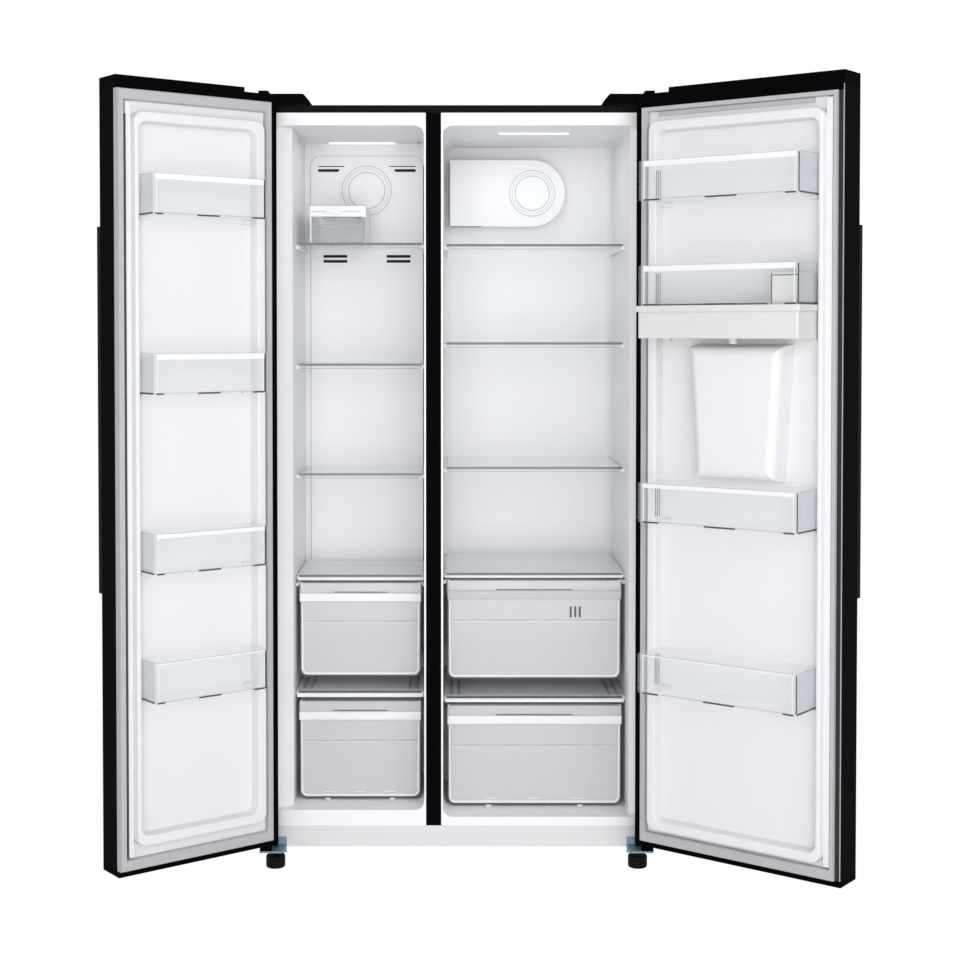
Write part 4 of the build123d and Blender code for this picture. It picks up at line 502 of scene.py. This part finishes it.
# Ice maker: a white moulded frame and twist tray over a clear box, standing on the freezer's first
# shelf. The box has ribs across its front, and fine shaded lines mark the frame's parts.
ICE_LEFT, ICE_RIGHT, ICE_FRONT, ICE_FLOOR = -345, -214, 114, 1440.5
RIBS, RIB_SHORT, RIB_DEPTH, RIB_RISE = (12, 26, 42), 5, (-0.6, -0.05), (0, 1.4)
ICE_LINES = (((3, -12), (-0.6, -0.05), (73, 74.4)),
             ((0.5, -0.5), (-0.5, -0.05), (86.6, 87.9)),
             ((1, -9), (-0.5, -0.05), (60.8, 62)))
ICE_POST, POST_DEPTH, POST_RISE = (-2.9, -0.1), (-0.5, -0.05), (2, 60)
white_trim = grained("white_trim", (0.82, 0.825, 0.83), rough=0.3, mottle=0.015, grain=12,
                     ripple=0.02, fine=500, specular=0.35)
clear_box = clear("clear_box", (0.80, 0.83, 0.86), rough=0.06, least=0.08, most=0.4)
dress(white_trim, "ice_maker_frame", "ice_tray")
dress(clear_box, "ice_box")
ribs = bmesh.new()
for height in RIBS:
    slab(ribs, ICE_LEFT + RIB_SHORT, ICE_RIGHT - RIB_SHORT,
         *past(ICE_FRONT, RIB_DEPTH), *past(ICE_FLOOR + height, RIB_RISE))
piece(ribs, "ice_box_ribs", "ice_box", line_grey, "clear_bin")
bridge = bmesh.new()
for (left, right), depth, rise in ICE_LINES:
    slab(bridge, ICE_LEFT + left, ICE_RIGHT + right,
         *past(ICE_FRONT, depth), *past(ICE_FLOOR, rise))
slab(bridge, *past(ICE_RIGHT, ICE_POST), *past(ICE_FRONT, POST_DEPTH), *past(ICE_FLOOR, POST_RISE))
piece(bridge, "ice_maker_lines", "cabinet", line_grey, "white_trim")

# Drawers: clear milky moulded tubs that slide on the liner's ribs, each with a white band across
# its front. A grip slot lies in the band, a moulded rim goes round the front, and a step crosses
# it below the band. The fridge's upper one has a clear band and three vent slits. Dark lines are
# painted shade round the rim, in the grip slot and the slits, beside the band and along its top
# edge. The rim is a moulded lip, and its whiter finish is a painted highlight of the clear edges.
DRAWERS = {"freezer_upper": (-370, -84.5, 107, 417, 639),
           "freezer_lower": (-370, -84.5, 90, 132.3, 362),
           "fridge_upper": (-21.5, 388, 107, 411, 645),
           "fridge_lower": (-21.5, 388, 90, 116.3, 352)}
BAND_HEIGHT, BAND_GAP = 45, 1
STEP_SHARE = 0.27                     # of the way from the band down to the bottom
RIM_INSET, RIM_FRONT, RIM_SECTION = 3, -1.3, (15, 6, 1.2)     # corner, width and thickness
SHADE_BELOW, SHADE_FRONT, SHADE_SECTION = 1, -0.9, (16, 3.8, 0.8)   # painted shade round the rim
STEP_SHORT, STEP_DEPTH, STEP_RISE = 9, (-0.6, -0.05), (0, 1.2)
LEDGE_DEPTH, LEDGE_RISE = (-0.8, -0.05), (-3.5, -2)
STUD_SPAN, STUD_DEPTH, STUD_RISE = (-14, 14), (-0.9, -0.05), (13, 15)
GRIP_SHARE, GRIP_DEPTH, GRIP_RISE = 0.44, (-0.9, -0.1), (-24.2, -22.4)
TOP_SHORT, TOP_DEPTH, TOP_RISE = 6, (-0.6, -0.05), (-1.8, -0.4)
CHEEK_LEFT, CHEEK_RIGHT, CHEEK_WIDTH = -3.2, 0.2, 3           # painted shade beside the band, between drawer and wall
CHEEK_DEPTH, CHEEK_RISE = (1, 4), (-32, -6)
FRONT_SLITS, SLIT_SPAN, FRONT_SLIT_RISE = (269.6, 280.4, 291), (-2.4, 2.4), (556, 582)
milky_clear = clear("milky_clear", (0.835, 0.835, 0.86), rough=0.14, least=0.55, most=0.8)
band_clear = clear("band_clear", (0.86, 0.84, 0.83), rough=0.14, least=0.4, most=0.7)
rim_white = clear("rim_white", (0.93, 0.935, 0.95), rough=0.12, least=0.75, most=0.9)
# Dark finish for painted shade and for the dark look of thick clear edges.
shade_and_edge_dark = grained("shade_and_edge_dark", (0.06, 0.06, 0.075), rough=0.3, mottle=0.1, grain=80,
                    ripple=0.02, fine=500, specular=0.4)
dress(white_trim, "freezer_upper_handle", "freezer_lower_handle", "fridge_lower_handle")
dress(band_clear, "fridge_upper_handle")
for name, (x0, x1, front, z0, z1) in DRAWERS.items():
    body = f"{name}_drawer"
    dress(milky_clear, body)
    band = z1 - BAND_HEIGHT
    step = band - STEP_SHARE * (band - z0)
    middle, half = (x0 + x1) / 2, (x1 - x0) / 2
    # The rim's whiter finish is a painted highlight where the clear edges refract the light.
    rim = bmesh.new()
    tub_front(rim, x0 + RIM_INSET, x1 - RIM_INSET, front + RIM_FRONT, z0 + RIM_INSET,
              band - BAND_GAP, *RIM_SECTION)
    slab(rim, x0 + STEP_SHORT, x1 - STEP_SHORT, *past(front, LEDGE_DEPTH), *past(step, LEDGE_RISE))
    if name.endswith("lower"):
        for x in (middle - half / 2, middle, middle + half / 2):
            slab(rim, *past(x, STUD_SPAN), *past(front, STUD_DEPTH), *past(z0, STUD_RISE))
    piece(rim, f"{name}_front_rim", body, rim_white, "milky_drawer")
    line = bmesh.new()
    slab(line, x0 + STEP_SHORT, x1 - STEP_SHORT, *past(front, STEP_DEPTH), *past(step, STEP_RISE))
    piece(line, f"{name}_step_line", body, line_grey, "milky_drawer")
    # Painted shade round the rim, in the grip slot, along the top edge, beside the band and in the
    # slits.
    lines = bmesh.new()
    tub_front(lines, x0, x1, front + SHADE_FRONT, z0 - SHADE_BELOW, band - BAND_GAP, *SHADE_SECTION)
    slab(lines, middle - GRIP_SHARE * half, middle + GRIP_SHARE * half,
         *past(front, GRIP_DEPTH), *past(z1, GRIP_RISE))
    slab(lines, x0 + TOP_SHORT, x1 - TOP_SHORT, *past(front, TOP_DEPTH), *past(z1, TOP_RISE))
    for x in (x0 + CHEEK_LEFT, x1 + CHEEK_RIGHT):
        slab(lines, x, x + CHEEK_WIDTH, *past(front, CHEEK_DEPTH), *past(z1, CHEEK_RISE))
    if name == "fridge_upper":
        for x in FRONT_SLITS:
            slab(lines, *past(x, SLIT_SPAN), *past(front, LEDGE_DEPTH), *FRONT_SLIT_RISE)
    piece(lines, f"{name}_painted_shade_lines", body, shade_and_edge_dark, "black_plastic")

# Doors: pressed black steel skins closed by plastic end caps, with tall pulls fixed along their
# free edges. The paint is smooth, and the caps are moulded in the mullion's black plastic.
door_paint = grained("door_paint", (0.0025, 0.0025, 0.003), rough=0.34, mottle=0.2, grain=25,
                     ripple=0.03, fine=500, specular=0.003)
pull_black = grained("pull_black", (0.005, 0.005, 0.0055), rough=0.4, mottle=0.2, grain=60,
                     ripple=0.08, fine=900, specular=0.02)
dress(door_paint, "freezer_door_shell", "fridge_door_shell")
dress(black_plastic, "freezer_door_caps", "fridge_door_caps")
dress(pull_black, "freezer_door_handle", "fridge_door_handle")

# Gaskets: grey magnetic seals pushed into the liner's rim and mitred at the corners, with one flat
# face and some slimmer sides, beside black edges at the hinge and over the fridge's top. White
# flanks of the liner and slim strips stand by the free sides, and a grey bar along the fridge's top
# side. A pale line on the fridge door's free edge is a painted highlight, and a dark strip by the
# freezer's free side is painted shadow in the gap between its seal and the liner's ridge.
SIDES = {"freezer": -1, "fridge": 1}
DOOR_OPEN = 142.5                     # degrees
PIN_X, PIN_Y = 435, -46
SEAL = [(0, 0), (0, 9), (1.5, 12), (3, 13), (21, 13), (22.5, 12), (24, 8), (24, 0)]
SEAL_WIDTH = 25
SEAL_RIGHT, SEAL_LOW, SEAL_HIGH, SEAL_FOOT = 440, 81.5, 1744, -16
FREEZER_FREE, FRIDGE_FREE = -58, -44
HINGE_EDGE, TOP_EDGE = 9, 13          # black edges at the hinges and over the fridge's seal
HINGE_SLIM, TOP_SLIM = 16, 11         # seal widths beside these edges
FREE_START, FREE_SLIM = 5, 9          # the fridge's seal at its free side
RIM_START, RIM_SLIM = -2.8, 14        # the freezer's seal at its free side
RIM_FACE, EDGE_FACE, EDGE_OVER = -15.9, -11, 0.5
FLANK_LOW, FLANK_HIGH, STRIP_LOW, SEAL_SHADOW_HIGH = 110, 1716, 82, 1690
TOP_BAR_LOW, TOP_BAR_HIGH = 1710, 1719.5
TOP_PAST = 6                          # the top black edge goes this far past the free side
LEAST_INSET = 0.05
seal_grey = grained("seal_grey", (0.46, 0.46, 0.475), rough=0.55, mottle=0.05, grain=40,
                    ripple=0.06, fine=700, specular=0.2)
trim_grey = grained("trim_grey", (0.03, 0.03, 0.033), rough=0.45, mottle=0.2, grain=60,
                    ripple=0.1, fine=1200, specular=0.1)
DOOR_BARS = {
    "fridge_trim_strip": ("fridge", trim_grey, "rail_plastic",
                          (-50, -39.2, RIM_FACE, -13.5, STRIP_LOW, SEAL_HIGH)),
    "fridge_liner_flank": ("fridge", door_white_shaded, "white_liner",
                           (-29.8, -16.5, RIM_FACE, -4, FLANK_LOW, FLANK_HIGH)),
    # painted highlight along the fridge door's free edge
    "fridge_edge_highlight": ("fridge", line_grey, "seal_grey",
                           (-50.6, -49.4, RIM_FACE, -12.8, STRIP_LOW, SEAL_HIGH)),
    # grey bar along the fridge's top side, under the seal
    "fridge_top_grey_bar": ("fridge", seal_grey, "seal_grey",
                        (15, 390, RIM_FACE, -10, TOP_BAR_LOW, TOP_BAR_HIGH)),
    "freezer_rim_lip": ("freezer", seal_grey, "seal_grey",
                        (-55.6, -54.9, -24, RIM_FACE, SEAL_LOW, SEAL_HIGH)),
    "freezer_liner_flank": ("freezer", door_white_shaded, "white_liner",
                            (-85, -72.7, RIM_FACE, -5, FLANK_LOW, FLANK_HIGH)),
    # painted shadow in the gap between the freezer's seal and the liner's ridge
    "freezer_seal_shadow": ("freezer", shade_and_edge_dark, "black_plastic",
                         (-72.6, -69.3, RIM_FACE, -2.9, FLANK_LOW, SEAL_SHADOW_HIGH))}


def door_place(where):
    """From where a door is drawn shut to where it stands open, turned about its pins."""
    side = SIDES[where]
    pins = Matrix.Translation((side * PIN_X, PIN_Y, 0))
    turn = Matrix.Rotation(side * radians(DOOR_OPEN), 4, "Z")
    return cabinet_place @ pins @ turn @ pins.inverted()


def framed(mesh, x0, x1, y, z0, z1, section):
    """Mitred frame: a rectangle is stepped inwards from one point of the section to the next."""
    corners = ((x0, z0), (x0, z1), (x1, z1), (x1, z0))
    sheet = mesh.faces.new([mesh.verts.new((x, y, z)) for x, z in corners])
    mesh.normal_update()
    for (inset, height), (next_inset, next_height) in zip(section, section[1:]):
        bmesh.ops.inset_region(mesh, faces=[sheet], thickness=max(LEAST_INSET, next_inset - inset),
                               depth=next_height - height, use_boundary=True, use_even_offset=True)
    bmesh.ops.delete(mesh, geom=[sheet], context="FACES")


def slim(mesh, axis, edge, inward, start, width):
    """Squeeze the side of a seal along one edge into a slimmer side that starts further in."""
    for vert in mesh.verts:
        inset = (vert.co[axis] - edge) * inward
        if inset < SEAL_WIDTH:
            vert.co[axis] = edge + inward * (start + inset * width / SEAL_WIDTH)


for where, x0, x1 in (("freezer", -SEAL_RIGHT, FREEZER_FREE), ("fridge", FRIDGE_FREE, SEAL_RIGHT)):
    side = SIDES[where]
    seal = bmesh.new()
    framed(seal, x0, x1, SEAL_FOOT, SEAL_LOW, SEAL_HIGH, SEAL)
    slim(seal, 0, side * SEAL_RIGHT, -side, HINGE_EDGE, HINGE_SLIM)
    hinge_x = side * (SEAL_RIGHT - HINGE_EDGE)
    black = bmesh.new()
    slab(black, hinge_x, hinge_x + side * (HINGE_EDGE + EDGE_OVER), RIM_FACE, EDGE_FACE,
         SEAL_LOW, SEAL_HIGH)
    if where == "fridge":
        slim(seal, 0, FRIDGE_FREE, 1, FREE_START, FREE_SLIM)
        slim(seal, 2, SEAL_HIGH, -1, TOP_EDGE, TOP_SLIM)
        slab(black, FRIDGE_FREE - TOP_PAST, hinge_x, RIM_FACE, EDGE_FACE,
             SEAL_HIGH - TOP_EDGE, SEAL_HIGH + EDGE_OVER)
    else:
        slim(seal, 0, FREEZER_FREE, -1, RIM_START, RIM_SLIM)
    body = f"{where}_door"
    made = piece(seal, f"{where}_seal", body, seal_grey, "seal_grey", door_place(where))
    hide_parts(f"{where}_door_gasket")
    piece(black, f"{where}_black_edges", body, black_plastic, "black_plastic", door_place(where))
for name, (where, material, slot, span) in DOOR_BARS.items():
    bar(span, name, f"{where}_door", material, slot, door_place(where))

# Door bins: clear moulded trays hung on lugs of the liner, each with a white strip along its front.
# Dark edges along the floor in three dashes, at the free end and at the hinge end are painted
# shade, with the dark look of the thick clear plastic there. A darker clear sheet over each free
# end is painted shade too. Fine grey lines follow the floor and the upper edges.
BINS = {"freezer": (-101, -379.5, 67, (1476, 1098, 719, 447)),
        "fridge": (-1, 379.5, 94, (1514, 1287, 815, 441))}
BIN_HEIGHT, BIN_BACK, FLOOR_EDGE = 87, -9, 4
STRIPS, STRIP_DROP = (12, 12, 9, 3), 1             # height of each strip, from the top bin down
STRIP_SHORT = 9                                    # from the strips to the bins' hinge end
STRIP_FROM, STRIP_TO = 0.015, 0.985                # shares of the way along the front
WHITE_STRIPS = 2                                   # those below are clear
STRIP_DEPTH, POST_FACE = (-0.05, 1.2), (-0.05, 0.6)
FREE_POST, HINGE_POST = (-1.5, -3.5), (0.5, 2.5)   # outwards from the ends of the strip
END_SPAN, END_SHORT, END_DROP = (0.1, 0.5), 5, 2
DASHES = ((STRIP_FROM, 0.08), (0.38, 0.58), (0.88, STRIP_TO))
DASH_DEPTH, DASH_RISE = (-0.4, 0.7), (0.2, 3.6)
SIDE_SPAN, SIDE_SHORT, SIDE_RISE = (0.1, 0.8), 4, (1, 4.6)
BACK_SPAN, BACK_DEPTH, BACK_FROM, BACK_DROP = (0.1, 0.6), (-5, -2.6), 5, 22
FILL_BOX_RIGHT = 68                                # the tank's fill box stands in the second bin
FILL_DEPTH, FILL_RISE = (-0.4, 0.5), (0.5, 3)
HINGE_DEPTH, HINGE_FROM, HINGE_DROP = (-4, 0.8), 1, 2
CORNER_SPAN, CORNER_DEPTH, CORNER_DROP = (0, -2.4), (-5, -3.5), 3
HINGE_LINES, LINE_SPAN, LINE_DEPTH = (3, 12, 20), (-3, -3.6), (0, 1.6)
LINE_FROM, LINE_DROP = 6, 14
SILL_DEPTH, SILL_RISE = (-0.2, 0.3), (3, 4.4)
BRIM_DEPTH, BRIM_RISE, BRIM_SIDE_RISE = (-0.4, 0.4), (-0.9, 0), (-1.4, -0.2)
bin_clear = clear("bin_clear", (0.84, 0.88, 0.93), rough=0.06, least=0.035, most=0.16)
# darker copy of the clear plastic for the bins' free ends: painted shade
bin_end_shaded = clear("bin_end_shaded", (0.62, 0.65, 0.70), rough=0.08, least=0.18, most=0.3)


def outer(end, outward, offsets):
    """Both ends of a slab, each measured outwards from an end of a bin."""
    return [end + outward * offset for offset in offsets]


for where, (free, hinge, front, bottoms) in BINS.items():
    side = SIDES[where]
    outward = -side
    strip_end = hinge - side * STRIP_SHORT
    run = strip_end - free
    start, stop = free + STRIP_FROM * run, free + STRIP_TO * run
    for index, (bottom, strip_height) in enumerate(zip(bottoms, STRIPS), 1):
        body = f"{where}_bin_{index}"
        top = bottom + BIN_HEIGHT
        floor_top = bottom + FLOOR_EDGE
        strip_top = top - STRIP_DROP
        under = strip_top - strip_height
        dress(bin_clear, body)
        strip = bmesh.new()
        slab(strip, start, stop, *past(front, STRIP_DEPTH), under, strip_top)
        for post in (outer(start, outward, FREE_POST), outer(stop, outward, HINGE_POST)):
            slab(strip, *post, *past(front, POST_FACE), floor_top, under)
        strip_finish = white_trim if index <= WHITE_STRIPS else rim_white
        piece(strip, f"{body}_strip", body, strip_finish, "white_trim", door_place(where))
        end = bmesh.new()
        slab(end, *outer(free, outward, END_SPAN), BIN_BACK, front - END_SHORT,
             floor_top, top - END_DROP)
        piece(end, f"{body}_end", body, bin_end_shaded, "clear_bin", door_place(where))
        # painted shade, with the dark look of the thick clear edges
        lines = bmesh.new()
        for first, last in DASHES:
            slab(lines, free + first * run, free + last * run,
                 *past(front, DASH_DEPTH), *past(bottom, DASH_RISE))
        slab(lines, *outer(free, outward, SIDE_SPAN), BIN_BACK, front - SIDE_SHORT,
             *past(bottom, SIDE_RISE))
        slab(lines, *outer(free, outward, BACK_SPAN), *BACK_DEPTH,
             bottom + BACK_FROM, top - BACK_DROP)
        if body == "fridge_bin_2":
            slab(lines, FILL_BOX_RIGHT, stop, *past(front, FILL_DEPTH), *past(bottom, FILL_RISE))
        if where == "freezer":
            slab(lines, stop, strip_end, *past(front, HINGE_DEPTH),
                 bottom + HINGE_FROM, top - HINGE_DROP)
        else:
            slab(lines, *outer(free, outward, CORNER_SPAN), *past(front, CORNER_DEPTH),
                 floor_top, top - CORNER_DROP)
            for y in HINGE_LINES:
                slab(lines, *past(hinge, LINE_SPAN), *past(y, LINE_DEPTH),
                     bottom + LINE_FROM, top - LINE_DROP)
        piece(lines, f"{body}_dark_edges", body, shade_and_edge_dark, "clear_bin", door_place(where))
        sill = bmesh.new()
        slab(sill, start, stop, *past(front, SILL_DEPTH), *past(bottom, SILL_RISE))
        slab(sill, start, strip_end, *past(front, BRIM_DEPTH), *past(top, BRIM_RISE))
        slab(sill, *outer(free, outward, BACK_SPAN), BIN_BACK, front - SIDE_SHORT,
             *past(top, BRIM_SIDE_RISE))
        piece(sill, f"{body}_sill", body, line_grey, "clear_bin", door_place(where))

# Water tank: a blow moulded cream tank over the dispenser, with a clear fill flap on a pin.
# The fill box's edges look dark through the bin in front of it.
BOX_LEFT, BOX_WALL_LEFT, BOX_WALL_RIGHT = 6.4, 8, FILL_BOX_RIGHT - 2
BOX_FACE, BOX_RISE, BOX_TOP = (77, 78), (1288, 1352), (77, 77.8, 1347, 1349)
tank_cream = grained("tank_cream", (0.67, 0.67, 0.655), rough=0.34, mottle=0.012, grain=8,
                     ripple=0.02, fine=500, specular=0.3)
dress(tank_cream, "water_tank")
dress(clear_box, "tank_fill_lid")
box_lines = bmesh.new()
slab(box_lines, BOX_WALL_RIGHT, FILL_BOX_RIGHT, *BOX_FACE, *BOX_RISE)
slab(box_lines, BOX_WALL_LEFT, BOX_WALL_RIGHT, *BOX_TOP)
slab(box_lines, BOX_LEFT, BOX_WALL_LEFT, *BOX_FACE, *BOX_RISE)
piece(box_lines, "fill_box_lines", "fridge_door", shade_and_edge_dark, "clear_bin", door_place("fridge"))

# Dispenser: a black moulded pocket let into the fridge door's front, glossy inside.
# Its paddle hangs on a pin under the spout.
niche_black = grained("niche_black", (0.006, 0.006, 0.0065), rough=0.32, mottle=0.2, grain=60,
                      ripple=0.08, fine=900, specular=0.08)
dress(niche_black, "dispenser_niche", "dispenser_paddle")
